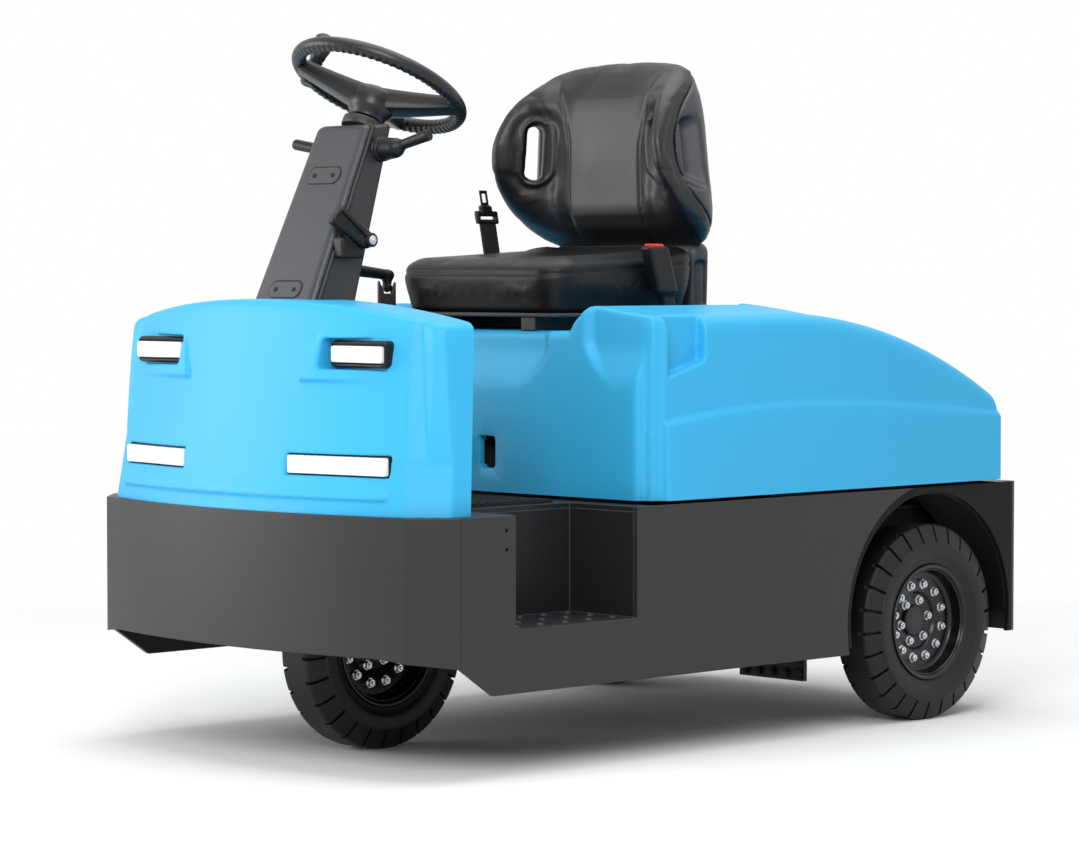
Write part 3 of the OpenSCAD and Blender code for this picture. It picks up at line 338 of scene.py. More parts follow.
# The tyres: solid rubber on pressed steel rims, with straight grooves moulded across both conical
# shoulders, a flat ring on the sidewall and a bead that curves in over the flange of the rim.
TYRE_R, RIM_R, LUGS = 208.0, 124.0, 26
GROOVE, GROOVE_LIP, GROOVE_NEAR = 3.1, 3.8, 8.0


def piece_of(name, points, faces, material, angle):
    """A new object from points in millimetres, with its place in its mesh."""
    mesh = bpy.data.meshes.new(name)
    mesh.from_pydata(np.asarray(points, float) * 0.001, [], [tuple(f) for f in np.asarray(faces).tolist()])
    mesh.update()
    shade(mesh, angle)
    mesh.materials.append(material)
    return linked(name, mesh)


def lattice(rows, cols, loop_rows=True, loop_cols=True):
    """Four-sided faces over a grid of points, closed on itself where it loops."""
    i = np.arange(rows if loop_rows else rows - 1)
    j = np.arange(cols if loop_cols else cols - 1)
    a, b = np.meshgrid(i, j, indexing="ij")
    a2, b2 = (a + 1) % rows, (b + 1) % cols
    return np.stack([a * cols + b, a2 * cols + b, a2 * cols + b2, a * cols + b2], -1).reshape(-1, 4)


def step(value, low, high):
    """Nought below, one above, an easy curve between."""
    t = np.clip((value - low) / (high - low), 0, 1)
    return t * t * (3 - 2 * t)


def tyre_points(centre):
    """Grid of a tyre: stations round it, each a closed section with its grooves pressed in."""
    half = [(RIM_R, 40), (RIM_R, 43), (127, 44.5), (131, 45.5), (136, 48), (140, 51.5), (143, 53.2),
            (147, 54), (158, 54.6), (166, 55), (168.6, 54.8), (169.8, 54), (170.2, 52.8), (171.2, 52.2),
            (178, 50), (188, 46.4), (197, 43), (202, 40.8), (205.4, 38.6), (207.4, 35.4), (TYRE_R, 31),
            (TYRE_R, 27), (TYRE_R, 23), (TYRE_R, 12)]
    other_half = [(r, -w) for r, w in reversed(half)]
    section = np.array(half + [(TYRE_R, 0.0)] + other_half + [(118, -38), (118, 38)])
    pitch = 2 * math.pi * TYRE_R / LUGS
    near = np.array([-GROOVE_NEAR, -GROOVE_LIP, -GROOVE, 0, GROOVE, GROOVE_LIP, GROOVE_NEAR]) / pitch
    stations = np.concatenate([[0.0], 0.25 + near, [0.5], 0.75 + near])
    angle = (np.arange(LUGS)[:, None] + stations[None, :]).ravel() * 2 * math.pi / LUGS
    r, w = section[:, 0][None, :], section[:, 1][None, :]
    points = np.zeros((len(angle), len(section), 3))
    notch = np.zeros((len(angle), len(section)))
    for side in (-1, 1):
        phase = (angle[:, None] * LUGS / (2 * math.pi) + side / 4) % 1.0 - 0.5
        wide = 1 - step(np.abs(phase) * pitch, GROOVE, GROOVE_LIP)
        deep = step(side * w, 23.5, 26.5) * step(r, 170.3, 171.1)
        notch = np.maximum(notch, wide * deep)
    tread = step(r, 202, 207.8)
    r = r - notch * (3.6 + 6.4 * tread)
    w = w - np.sign(w) * 9 * notch * (1 - tread)
    points[..., 0] = centre[0] + w
    points[..., 1] = centre[1] + r * np.sin(angle)[:, None]
    points[..., 2] = centre[2] + r * np.cos(angle)[:, None]
    return points


tyre_rubber = finish("tyre_rubber", "#151517", 0.5, specular=0.3, tone=0.14, patch=14, grain=520, bump=0.25,
                     edge=0.002, rub=0.08)
wheel_places = {
    "front": ((0.0, -565.0, TYRE_R), "front_wheel", "front_tyre", "front_rim"),
    "rear_left": ((458.0, 569.0, TYRE_R), "rear_wheel_left", "rear_tyre_left", "rear_rim_left"),
    "rear_right": ((-458.0, 569.0, TYRE_R), "rear_wheel_right", "rear_tyre_right", "rear_rim_right"),
}
for label, (centre, body, tyre_node, _) in wheel_places.items():
    grid = tyre_points(centre)
    faces = lattice(*grid.shape[:2])[:, ::-1]
    tyre = piece_of("tyre_" + label, grid.reshape(-1, 3), faces, tyre_rubber, 50)
    fit(tyre, "tyre_rubber", body, tyre_node)

# The rims: deep pressed steel dishes in black enamel, a double bead round the flange, held to the hub
# by a ring of twelve nuts, with six more round the cap in the middle.
rim_enamel = finish("rim_enamel", "#0a0a0b", 0.26, tone=0.1, patch=20, grain=600, bump=0.1, edge=0.002,
                    specular=0.4)
POLE = 0.01
hub_grey = finish("hub_grey", "#2a2a2c", 0.42, specular=0.35, tone=0.08, patch=30, bump=0.15, edge=0.002)


def turned(profile, centre, flip, turns):
    """Points and faces of a form turned about the wheel's axle from (radius, across) pairs."""
    profile = np.array(profile, float)
    angle = np.arange(turns) * 2 * math.pi / turns
    points = np.zeros((turns, len(profile), 3))
    points[..., 0] = centre[0] + flip * profile[:, 1][None, :]
    points[..., 1] = centre[1] + profile[:, 0][None, :] * np.sin(angle)[:, None]
    points[..., 2] = centre[2] + profile[:, 0][None, :] * np.cos(angle)[:, None]
    faces = lattice(turns, len(profile))
    return points.reshape(-1, 3), faces if flip < 0 else faces[:, ::-1]


for label, (centre, body, _, rim_node) in wheel_places.items():
    outward = -1 if label == "rear_right" else 1
    bore = 20.1 if label == "front" else 30.1
    dish = [(bore, -2.5), (54, -2.5), (58, -1), (61, 6), (64, 8), (100, 8), (105, 9.5), (108.5, 14),
            (109.5, 20), (109.5, 33), (108, 38), (110, 41), (112.5, 40), (113, 42.5), (115, 45),
            (119, 46.5), (121.5, 46.5), (123, 44), (123.6, 40), (123.6, -40), (121, -46),
            (117, -46), (113.5, -40), (113.5, -12), (110, -7), (62, -6), (60, -29), (bore, -29)]
    rim = piece_of("rim_" + label, *turned(dish, centre, outward, 144), rim_enamel, 40)
    fit(rim, "black_steel", body, rim_node)
    cap = [(POLE, 8), (20, 8), (28, 6.5), (32, 4), (33, 0.5), (33, -1), (POLE, -1)]
    hub_cap = piece_of("hub_cap_" + label, *turned(cap, centre, outward, 48), hub_grey, 40)
    fit(hub_cap, "black_steel", body)
    ring = [(79, 8, k * 30 + 12) for k in range(12)] + [(45, -2.5, k * 60 + 20) for k in range(6)]
    nut_points = [(centre[0] + outward * x, centre[1] + r * math.sin(math.radians(a)),
                   centre[2] + r * math.cos(math.radians(a))) for r, x, a in ring]
    nuts = grow(hex_screws, "nuts_" + label, nut_points, [(outward, 0, 0)] * len(ring),
                {"Across": 0.0145, "Head": 0.009, "Stud": 0.013, "Finish": zinc_steel})
    fit(nuts, "zinc_steel", body)

# The cowl: a rotationally moulded blue shell over the nose, bowed across the front, with a split
# chamfer down each corner, a wedge pad round each upper lamp and a ridge along its foot.


def soft_max(a, b, r):
    """The larger of two distances, with a fillet of about r where they meet."""
    h = np.clip(0.5 + 0.5 * (a - b) / r, 0, 1)
    return b + (a - b) * h + r * h * (1 - h)


def soft_min(a, b, r):
    """The smaller of two distances, with a fillet of about r where they meet."""
    return -soft_max(-a, -b, r)


def skin_of(field, low, high, cell):
    """Points and four-sided faces where a distance field in millimetres passes through nought."""
    axes = [np.arange(a, b + cell, cell) for a, b in zip(low, high)]
    sparse = np.meshgrid(*axes, indexing="ij", sparse=True)
    size = np.array([len(a) for a in axes])
    value = np.broadcast_to(field(*sparse), size).astype(np.float64)
    inside = value < 0
    corners = np.array([(i, j, k) for i in (0, 1) for j in (0, 1) for k in (0, 1)])
    count = np.zeros(size - 1, int)
    for i, j, k in corners:
        count += inside[i:size[0] - 1 + i, j:size[1] - 1 + j, k:size[2] - 1 + k]
    cells = np.argwhere((count > 0) & (count < 8))
    number = np.full(size - 1, -1)
    number[tuple(cells.T)] = np.arange(len(cells))
    total = np.zeros((len(cells), 3))
    hits = np.zeros(len(cells))
    for a in corners:
        for axis in range(3):
            if a[axis]:
                continue
            b = a.copy()
            b[axis] = 1
            va, vb = value[tuple((cells + a).T)], value[tuple((cells + b).T)]
            crossing = (va < 0) != (vb < 0)
            part = np.where(crossing, va / np.where(crossing, va - vb, 1), 0)[:, None]
            total += np.where(crossing[:, None], cells + a + part * (b - a), 0)
            hits += crossing
    points = np.array(low) + cell * total / hits[:, None]
    faces = []
    for axis in range(3):
        u, v = (axis + 1) % 3, (axis + 2) % 3
        first = np.take(inside, range(size[axis] - 1), axis)
        second = np.take(inside, range(1, size[axis]), axis)
        edge = np.argwhere(first != second)
        eu, ev = edge[:, u], edge[:, v]
        edge = edge[(eu > 0) & (eu < size[u] - 1) & (ev > 0) & (ev < size[v] - 1)]
        quad = []
        for du, dv in ((-1, -1), (0, -1), (0, 0), (-1, 0)):
            at = edge.copy()
            at[:, u] += du
            at[:, v] += dv
            quad.append(number[tuple(at.T)])
        quad = np.stack(quad, -1)
        outward = first[tuple(edge.T)]
        faces.append(np.where(outward[:, None], quad, quad[:, ::-1]))
    for _ in range(4):
        here = field(*points.T)
        slope = np.stack([(field(*(points + d).T) - field(*(points - d).T)) / 0.4 for d in np.eye(3) * 0.2],
                         -1)
        move = here / np.maximum((slope ** 2).sum(-1), 0.05)
        points -= slope * np.clip(move, -cell / 2, cell / 2)[:, None]
    return points, np.concatenate(faces)


def moulded(name, field, low, high, cell, material, angle):
    """A piece whose skin is where a distance field passes through nought, inside a box."""
    points, faces = skin_of(field, low, high, cell)
    return piece_of(name, points, faces, material, angle)


def shell_of(name, points, faces, material, thick, keep, open_faces, cuts):
    """An open moulding: trimmed square by planes, pierced where faces are left out, its wall inward."""
    middle = points[faces].mean(1)
    piece = piece_of(name, points, faces[~open_faces(middle)], material, 60)
    graph = bpy.context.evaluated_depsgraph_get
    for kind, values in (("DECIMATE", {"ratio": keep}),
                         ("SOLIDIFY", {"thickness": thick * 0.001, "offset": -1})):
        if kind == "SOLIDIFY":
            bm = bmesh.new()
            bm.from_mesh(piece.data)
            for place, away in cuts:
                everything = bm.verts[:] + bm.edges[:] + bm.faces[:]
                bmesh.ops.bisect_plane(bm, geom=everything, plane_co=Vector(place) * 0.001, plane_no=away,
                                       clear_outer=True)
            bmesh.ops.delete(bm, geom=[v for v in bm.verts if not v.link_faces], context="VERTS")
            bm.to_mesh(piece.data)
            bm.free()
        modifier = piece.modifiers.new(kind.lower(), kind)
        for key, value in values.items():
            setattr(modifier, key, value)
        mesh = bpy.data.meshes.new_from_object(piece.evaluated_get(graph()))
        piece.modifiers.clear()
        piece.data = mesh
    shade(piece.data, 60)
    return piece


FRONT, DECK, COWL_H = -950.0, 496.0, 352.0
COWL_HALF, COWL_CORNER, COWL_STRIP, BOW_R, SETBACK = 494.0, 63.0, 36.0, 1290.0, 3.0


def cowl_pads(across, z):
    """How far the lamp pads and the foot ridge stand out of the front."""
    inner = 165 + (z - 745) * 0.42
    pad = 11 * step(z, 740, 750) * np.clip((852 - z) / 100, 0, 1) * step(across, inner - 6, inner + 6)
    pad = pad * np.clip((392 - across) / 190, 0, 1)
    ridge = 8 * step(z, 520, 530) * np.clip((560 - z) / 30, 0, 1) * (1 - step(across, 386, 398))
    return pad + ridge


def lamp_hole(across, z, low_x, high_x, low_z, high_z, corner):
    """Distance to a rectangle with round corners, seen from the front."""
    dx = np.abs(across - (low_x + high_x) / 2) - (high_x - low_x) / 2 + corner
    dz = np.abs(z - (low_z + high_z) / 2) - (high_z - low_z) / 2 + corner
    return np.hypot(np.maximum(dx, 0), np.maximum(dz, 0)) + np.minimum(np.maximum(dx, dz), 0) - corner


UPPER_Y, LOWER_Y, LOWER_SWEEP = -873.0, -903.4, 0.179


def cowl_field(x, y, z):
    across = np.abs(x)
    share = np.clip((z - DECK) / COWL_H, -0.2, 1.3)
    half = COWL_HALF - 29 * share
    strip = COWL_STRIP * np.clip((share - 0.28) / 0.72, 0, 1) ** 0.75
    facet = (COWL_CORNER - strip) / 2
    x1 = half - COWL_CORNER
    start = FRONT + SETBACK + 58 * share
    y1 = start + BOW_R - np.sqrt(BOW_R ** 2 - x1 * x1)
    front = np.hypot(x, y - start - BOW_R) - BOW_R - cowl_pads(across, z)
    inner = ((across - x1) - (y - y1)) * math.sqrt(0.5)
    ledge = (y1 + facet) - y
    outer = ((across - x1 - facet - strip) - (y - y1 - facet)) * math.sqrt(0.5)
    corner = soft_max(outer, soft_min(inner, ledge, 3), 2)
    top = z - (DECK + COWL_H + 50 * (1 - (x / COWL_HALF) ** 2))
    body = soft_max(soft_max(front, across - half, 8), corner, 3)
    body = soft_max(body, top, 20)
    upper = np.maximum(lamp_hole(across, z, 206, 374, 767, 826, 10), y - UPPER_Y - 22)
    lower = np.maximum(lamp_hole(across, z, 152, 391, 567, 608, 5), y - LOWER_Y - 40)
    return soft_max(soft_max(body, -upper, 4), -lower, 4)


blue_panel = finish("blue_panel", "#34abdd", 0.46, tone=0.03, patch=3, grain=520, bump=0.06, edge=0.0015,
                    rough_spread=0.04, specular=0.32)
points, faces = skin_of(cowl_field, (-512, -960, 484), (512, -700, 916), 4.0)


def cowl_mouth(at):
    """The floors of the lamp pockets, which the housings fill."""
    x, y, z = at.T
    across = np.abs(x)
    upper = (np.abs(y - UPPER_Y - 22) < 2.5) & (np.abs(across - 292) < 72) & (np.abs(z - 796) < 24)
    lower = (np.abs(y - LOWER_Y - 40) < 2.5) & (np.abs(across - 273) < 118) & (np.abs(z - 587) < 18)
    return upper | lower


cowl_cuts = [((0, 0, DECK), (0, 0, -1)), ((0, FRONT + 188, DECK), (0, COWL_H, -37))]
cowl = shell_of("cowl_shell", points, faces, blue_panel, 4, 0.45, cowl_mouth, cowl_cuts)
fit(cowl, "blue_panel", "chassis", "cowl")

# The lamps: clear white bars in black plastic trays, the upper pair set back square to the road in
# deep pockets and the lower pair filling their slots, each snapped in from behind.
black_plastic = finish("black_plastic", "#121213", 0.4, specular=0.28, tone=0.1, patch=20, grain=800,
                       bump=0.12, edge=0.002)
lens_white = finish("lens_white", "#f4f3f1", 0.14, tone=0.02, patch=60, grain=300, bump=0.05, edge=0.002,
                    coat=0.7)
dress(black_plastic, "dash_panel", "pedals")


def box_far(x, y, z, low, high, r):
    """Distance to a box with edges rounded by r."""
    q = [np.abs(c - (a + b) / 2) - (b - a) / 2 + r for c, a, b in zip((x, y, z), low, high)]
    outside = np.sqrt(sum(np.maximum(c, 0) ** 2 for c in q))
    return outside + np.minimum(np.maximum(np.maximum(q[0], q[1]), q[2]), 0) - r


def lens_field(x, y, z):
    """The two lit bars on each side, the lower ones swept back with the bow."""
    across = np.abs(x)
    upper = box_far(across, y, z, (225, UPPER_Y, 780), (364, UPPER_Y + 26, 812), 4)
    swept = y - LOWER_SWEEP * (across - 270)
    lower = box_far(across, swept, z, (156, LOWER_Y, 570), (386, LOWER_Y + 20, 605), 4)
    return np.minimum(upper, lower)


def tray_field(x, y, z):
    """Black housings behind the bars, the upper ones standing out of the cowl at their outer ends."""
    across = np.abs(x)
    upper = box_far(across, y, z, (216, UPPER_Y + 5, 770), (370, UPPER_Y + 74, 822), 10)
    upper = np.maximum(upper, -box_far(across, y, z, (222, UPPER_Y - 20, 777), (367, UPPER_Y + 12, 815), 4))
    swept = y - LOWER_SWEEP * (across - 270)
    lower = box_far(across, swept, z, (153, LOWER_Y + 12, 567), (390, LOWER_Y + 36, 608), 2)
    return np.minimum(upper, lower)


for name, field, material, slot, node in (
        ("lamp_bars", lens_field, lens_white, "lens_white", "lamp_lenses"),
        ("lamp_trays", tray_field, black_plastic, "black_plastic", "lamp_housings")):
    lamps = moulded(name, field, (-402, -940, 560), (402, -790, 830), 3.0, material, 30)
    fit(lamps, slot, "chassis", node)

# The steering column: a tapered satin grey moulding, its front cover closed by a bead down each edge,
# with two oblong hand-hole covers, each held by two small screws over a dark joint.
column_plastic = finish("column_plastic", "#393a3d", 0.38, specular=0.42, tone=0.05, patch=8, grain=700,
                        bump=0.1, edge=0.002)
# The sides and rear take a darker copy of the column's grey: painted shade on the sides.
column_side_painted_shade = finish("column_side_painted_shade", "#2f2f31", 0.42, specular=0.35, tone=0.05, patch=8,
                             grain=700, bump=0.1, edge=0.002)
COLUMN_SLOPE = 0.91
WHEEL_AT, LEAN = np.array([0.0, -546.0, 1319.0]), math.radians(27)


def column_level(z):
    """Half width, front and rear of the column at a height."""
    t = (z - DECK - 399) / 351
    return 90 - 14 * t, FRONT + 149 + 159 * t, FRONT + 269 + 109 * t


def column_whole(x, y, z):
    """The tapered column under its round head."""
    half, front, rear = column_level(z)
    body = soft_max(soft_max(np.abs(x) - half, (front - y) * COLUMN_SLOPE, 18), (y - rear) * 0.95, 10)
    return soft_max(body, z - 1243 - 0.12 * (y + 600), 12)


def column_front(x, y, z):
    """The front cover: the part before the joint line, with a bead along the joint."""
    return soft_max(column_whole(x, y, z), (y - column_level(z)[1] - 13) * COLUMN_SLOPE, 3)


def column_rear(x, y, z):
    """The rear part, in a darker grey that paints the shade on the column's sides, with the bead between two
    grooves, the foot, the head and the shaft.
    """
    half, front, _ = column_level(z)
    back = soft_max(column_whole(x, y, z) + 2.5, (front + 15 - y) * COLUMN_SLOPE, 2)
    bead = np.hypot(np.abs(x) - half + 2.5, (y - front - 19) * COLUMN_SLOPE) - 4.5
    bead = np.maximum(np.maximum(bead, z - 1236), DECK + 250 - z)
    axis = np.hypot(x, (y - WHEEL_AT[1]) * math.cos(LEAN) - (z - WHEEL_AT[2]) * math.sin(LEAN))
    along = (y - WHEEL_AT[1]) * math.sin(LEAN) + (z - WHEEL_AT[2]) * math.cos(LEAN)
    head = soft_max(axis - 44, np.abs(along + 92) - 10, 4)
    neck = np.maximum(axis - 27, np.abs(along + 90) - 12)
    foot = box_far(x, y, z, (-50, FRONT + 90, DECK), (50, FRONT + 165, DECK + 215), 3)
    return np.minimum(np.minimum(soft_min(back, bead, 2), foot), np.minimum(head, neck))


column = moulded("column_rear", column_rear, (-100, -880, 490), (100, -520, 1300), 3.6, column_side_painted_shade,
                 45)
fit(column, "column_plastic", "chassis", "steering_column")
column_cover = moulded("column_front", column_front, (-100, -900, 690), (100, -600, 1262), 3.6,
                       column_plastic, 45)
fit(column_cover, "column_plastic", "chassis")
COVER_HEIGHTS = (643, 420)


def cover_field(x, y, z, stand, spread):
    """Both oblong covers, their face a little proud of the column."""
    front = column_level(z)[1]
    plates = []
    for height in COVER_HEIGHTS:
        up = (z - DECK - height) / math.cos(math.atan(159 / 351))
        flat = np.hypot(np.maximum(np.abs(x) - 30, 0), up) - 17 - spread
        plates.append(np.maximum(flat, np.abs((front - y) * COLUMN_SLOPE + 1.0 - stand) - 3.0))
    return np.minimum(*plates)


for name, stand, spread, material, nodes in (("cover_joints", -1.6, 3.5, screw_black, ()),
                                             ("cover_plates", 0.2, 0.0, column_plastic, ("column_covers",))):
    covers = moulded(name, lambda x, y, z: cover_field(x, y, z, stand, spread),
                     (-60, -830, 880), (60, -660, 1175), 2.0, material, 40)
    fit(covers, "column_plastic", "chassis", *nodes)
screw_points = []
for height in COVER_HEIGHTS:
    front = float(column_level(DECK + height)[1])
    screw_points += [(x, front - 1.6, DECK + height) for x in (-27, 27)]
cover_screws = grow(hex_screws, "cover_screws", screw_points, [(0, -0.91, 0.41)] * 4,
                    {"Across": 0.009, "Head": 0.0025, "Stud": 0.003, "Finish": screw_black})
fit(cover_screws, "black_steel", "chassis")

# The controls on the column: a plain stalk on one side, a longer one in a ribbed rubber boot on the
# other, and a folding lever on a bright pivot screw lower down.


def rod_far(x, y, z, start, end, r0, r1):
    """Distance to a round rod that tapers between two points and has round ends."""
    start, end = np.array(start, float), np.array(end, float)
    way = end - start
    t = np.clip(((x - start[0]) * way[0] + (y - start[1]) * way[1] + (z - start[2]) * way[2]) / (way @ way),
                0, 1)
    far = np.sqrt((x - start[0] - t * way[0]) ** 2 + (y - start[1] - t * way[1]) ** 2
                  + (z - start[2] - t * way[2]) ** 2)
    return far - r0 - (r1 - r0) * t


def flat_end(x, y, z, start, end):
    """Distance beyond the far end of a rod, for a cut square end."""
    way = np.array(end, float) - np.array(start, float)
    way /= np.linalg.norm(way)
    return (x - end[0]) * way[0] + (y - end[1]) * way[1] + (z - end[2]) * way[2]


def stalks_field(x, y, z):
    short = ((-66, -612, 1188), (-176, -614, 1206))
    long = ((96, -610, 1188), (206, -600, 1216))
    left = soft_max(rod_far(x, y, z, *short, 11, 11), flat_end(x, y, z, *short), 4)
    right = soft_max(rod_far(x, y, z, *long, 9, 11.5), flat_end(x, y, z, *long), 3)
    boot = ((66, -613, 1190), (118, -611, 1192))
    ribs = 1.6 * np.cos((x - 66) * 2 * math.pi / 8) * (1 - step(x, 90, 98))
    sleeve = np.maximum(rod_far(x, y, z, *boot, 25, 20) + ribs, 64 - x)
    collar = rod_far(x, y, z, (-64, -612, 1188), (-86, -612, 1190), 16, 14)
    return np.minimum(soft_min(right, sleeve, 8), soft_min(left, collar, 4))


stalks = moulded("stalks", stalks_field, (-200, -650, 1150), (232, -570, 1240), 2.2, black_plastic, 45)
fit(stalks, "black_plastic", "chassis", "control_levers")


def paddle_field(x, y, z):
    span = ((122, -692, 1013), (101, -744, 1058))
    grip = soft_max(rod_far(x, y, z, *span, 18, 22), flat_end(x, y, z, *span) - 9, 5)
    grip = soft_max(grip, np.abs((x - 112) * 0.9 - (y + 720) * 0.32) - 13, 5)
    hollow = np.abs((x - 128) * 0.9 - (y + 720) * 0.32) - 9
    rim = soft_max(rod_far(x, y, z, *span, 12, 17), flat_end(x, y, z, *span) - 5, 4)
    grip = soft_max(grip, -np.maximum(hollow, rim), 3)
    knuckle = np.maximum(np.hypot(y + 690, z - 1012) - 14, np.abs(x - 118) - 24)
    bracket = box_far(x, y, z, (80, -742, 976), (112, -684, 1018), 6)
    return soft_min(np.minimum(grip, knuckle), bracket, 6)


paddle = moulded("folding_lever", paddle_field, (70, -775, 965), (152, -660, 1085), 2.0, black_plastic, 45)
fit(paddle, "black_plastic", "chassis", "paddle_handle")
pivot = grow(hex_screws, "pivot_screw", [(142, -690, 1012)], [(1, 0, 0)],
             {"Across": 0.013, "Head": 0.003, "Stud": 0.004, "Finish": zinc_steel})
fit(pivot, "zinc_steel", "chassis")

# The hand brake: a grey steel upright bolted to the deck beside the seat box, with a black rod lever
# pinned in the notch of its top.
BRAKE_X, BRAKE_PIN = -216.0, -331.0


def upright_field(x, y, z):
    plate = box_far(x, y, z, (BRAKE_X - 4, BRAKE_PIN - 25, 496), (BRAKE_X + 4, BRAKE_PIN + 23, 934), 3)
    notch = np.maximum(np.abs(y - BRAKE_PIN) - 9 - 0.5 * np.maximum(z - 905, 0), 905 - z)
    foot = box_far(x, y, z, (BRAKE_X - 20, BRAKE_PIN - 36, 496), (BRAKE_X + 20, BRAKE_PIN + 23, 503), 2)
    return soft_min(soft_max(plate, -notch, 4), foot, 3)


def brake_lever_field(x, y, z):
    grip = ((BRAKE_X, BRAKE_PIN + 6, 943), (BRAKE_X, BRAKE_PIN - 104, 955))
    rod = soft_max(rod_far(x, y, z, *grip, 10.5, 13), flat_end(x, y, z, *grip), 5)
    neck = rod_far(x, y, z, (BRAKE_X, BRAKE_PIN, 916), (BRAKE_X, BRAKE_PIN, 941), 9, 10)
    pin = np.maximum(np.hypot(y - BRAKE_PIN, z - 916) - 7, np.abs(x - BRAKE_X) - 11)
    return np.minimum(soft_min(rod, neck, 8), pin)


for name, field, material, low, high, nodes in (
        ("brake_upright", upright_field, column_plastic, (-242, -374, 490), (-190, -302, 942),
         ("hand_brake",)),
        ("brake_lever", brake_lever_field, black_plastic, (-234, -456, 898), (-198, -304, 976), ())):
    fit(moulded(name, field, low, high, 2.6, material, 40), "black_steel", "chassis", *nodes)

# The steering wheel: a moulded black rim, ribbed underneath for the fingers, on three deep dished
# spokes that rise from a boss on the shaft.
WHEEL_MID, GRIP_R, RIBS = 169.0, 15.0, 72
RIM_TURNS, GRIP_TURNS, SPOKE_ROWS, SPOKE_RING = 504, 20, 14, 24
shaft_turn = np.array([[1, 0, 0], [0, math.cos(LEAN), math.sin(LEAN)],
                       [0, -math.sin(LEAN), math.cos(LEAN)]])


def on_shaft(points):
    """From the wheel's own plane, its axis along z, to its place on the column."""
    return WHEEL_AT + np.asarray(points) @ shaft_turn.T


round_angle = np.arange(RIM_TURNS)[:, None] * 2 * math.pi / RIM_TURNS
grip_angle = np.arange(GRIP_TURNS)[None, :] * 2 * math.pi / GRIP_TURNS
ribbed = 1.6 * (0.5 - 0.5 * np.cos(round_angle * RIBS)) * step(-np.sin(grip_angle + 0.5), 0.1, 0.6)
reach = GRIP_R - ribbed
rim_grid = np.stack(np.broadcast_arrays((WHEEL_MID + reach * np.cos(grip_angle)) * np.cos(round_angle),
                                        (WHEEL_MID + reach * np.cos(grip_angle)) * np.sin(round_angle),
                                        reach * np.sin(grip_angle) + 0 * round_angle), -1)
wheel_points = [rim_grid.reshape(-1, 3)]
wheel_faces = [lattice(RIM_TURNS, GRIP_TURNS)]


def add_form(points, faces):
    """Adds one form to the steering wheel."""
    wheel_faces.append(np.asarray(faces) + sum(len(p) for p in wheel_points))
    wheel_points.append(np.asarray(points, float))


for degrees in (31, 123, 215):
    ring = np.linspace(0, 2 * math.pi, SPOKE_RING, endpoint=False)
    rows = []
    for t in np.linspace(0, 1, SPOKE_ROWS):
        reach_out = 4 + (WHEEL_MID - 4) * t
        width = 31 - 13 * t + 5 * t ** 8
        depth = 25 - 12 * t
        drop = -36 + 34 * t ** 1.15
        square = 1 / (np.abs(np.cos(ring)) ** 7 + np.abs(np.sin(ring)) ** 7) ** (1 / 7)
        rows.append(np.stack([np.full(SPOKE_RING, reach_out), width * square * np.cos(ring),
                              drop + depth * square * np.sin(ring)], -1))
    turn = math.radians(degrees)
    spin = np.array([[math.cos(turn), -math.sin(turn), 0], [math.sin(turn), math.cos(turn), 0], [0, 0, 1]])
    add_form(np.concatenate(rows) @ spin.T, lattice(SPOKE_ROWS, SPOKE_RING, False, True))


def turned_on_shaft(profile, turns):
    """Points and faces of a form turned about the shaft from (radius, height) pairs that end on it."""
    r, h = np.array(profile, float).T
    turn = np.arange(turns)[:, None] * 2 * math.pi / turns
    grid = np.stack([r * np.cos(turn), r * np.sin(turn), h + 0 * turn], -1)
    return grid.reshape(-1, 3), lattice(turns, len(r), True, False)


boss = [(POLE, -6), (14, -6.5), (22, -8), (25, -12), (37, -14), (43, -18), (46, -26), (46, -52), (43, -61),
        (37, -66), (35, -76), (POLE, -76)]
add_form(*turned_on_shaft(boss, 72))
wheel_vinyl = finish("wheel_vinyl", "#161618", 0.36, specular=0.45, tone=0.08, patch=20, grain=900,
                     bump=0.15, edge=0.001)
hand_wheel = piece_of("hand_wheel_rim", on_shaft(np.concatenate(wheel_points)), np.concatenate(wheel_faces),
                      wheel_vinyl, 50)
fit(hand_wheel, "black_plastic", "hand_wheel", "steering_wheel")

# The turning knob: a round moulded grip that spins on a ribbed collar, clamped to the wheel's rim for
# steering with one hand.
KNOB_AT = math.radians(196)
knob = [(POLE, -16.5), (12, -16.5), (16, -12), (16.5, 12), (13, 15), (12, 22), (15, 24), (12, 27), (15, 30),
        (12, 33), (15, 36), (12, 39), (15, 42), (17, 54), (20, 64), (20.5, 80), (18, 91), (11, 97),
        (POLE, 99)]
points, faces = turned_on_shaft(knob, 40)
points = on_shaft(points + WHEEL_MID * np.array([math.cos(KNOB_AT), math.sin(KNOB_AT), 0]))
turning_knob = piece_of("turning_knob", points, faces[:, ::-1], wheel_vinyl, 45)
fit(turning_knob, "black_plastic", "hand_wheel", "spinner_knob")

# The hood: one blue moulding over the battery that carries the seat, falling away to the rear, its
# lower flanks standing proud, its front corners fluted and its shoulders scooped for the hands.
HOOD_Y, HOOD_Z, HOOD_L, HALF_W, HOOD_CORNER = -301.0, 503.0, 1100.0, 521.0, 47


def hood_crest(d):
    """Height of the hood's crown at a distance behind its front wall."""
    fall = np.clip(d - 400, 0, 1300)
    return 890 - (1400 - np.sqrt(1400.0 ** 2 - fall ** 2))


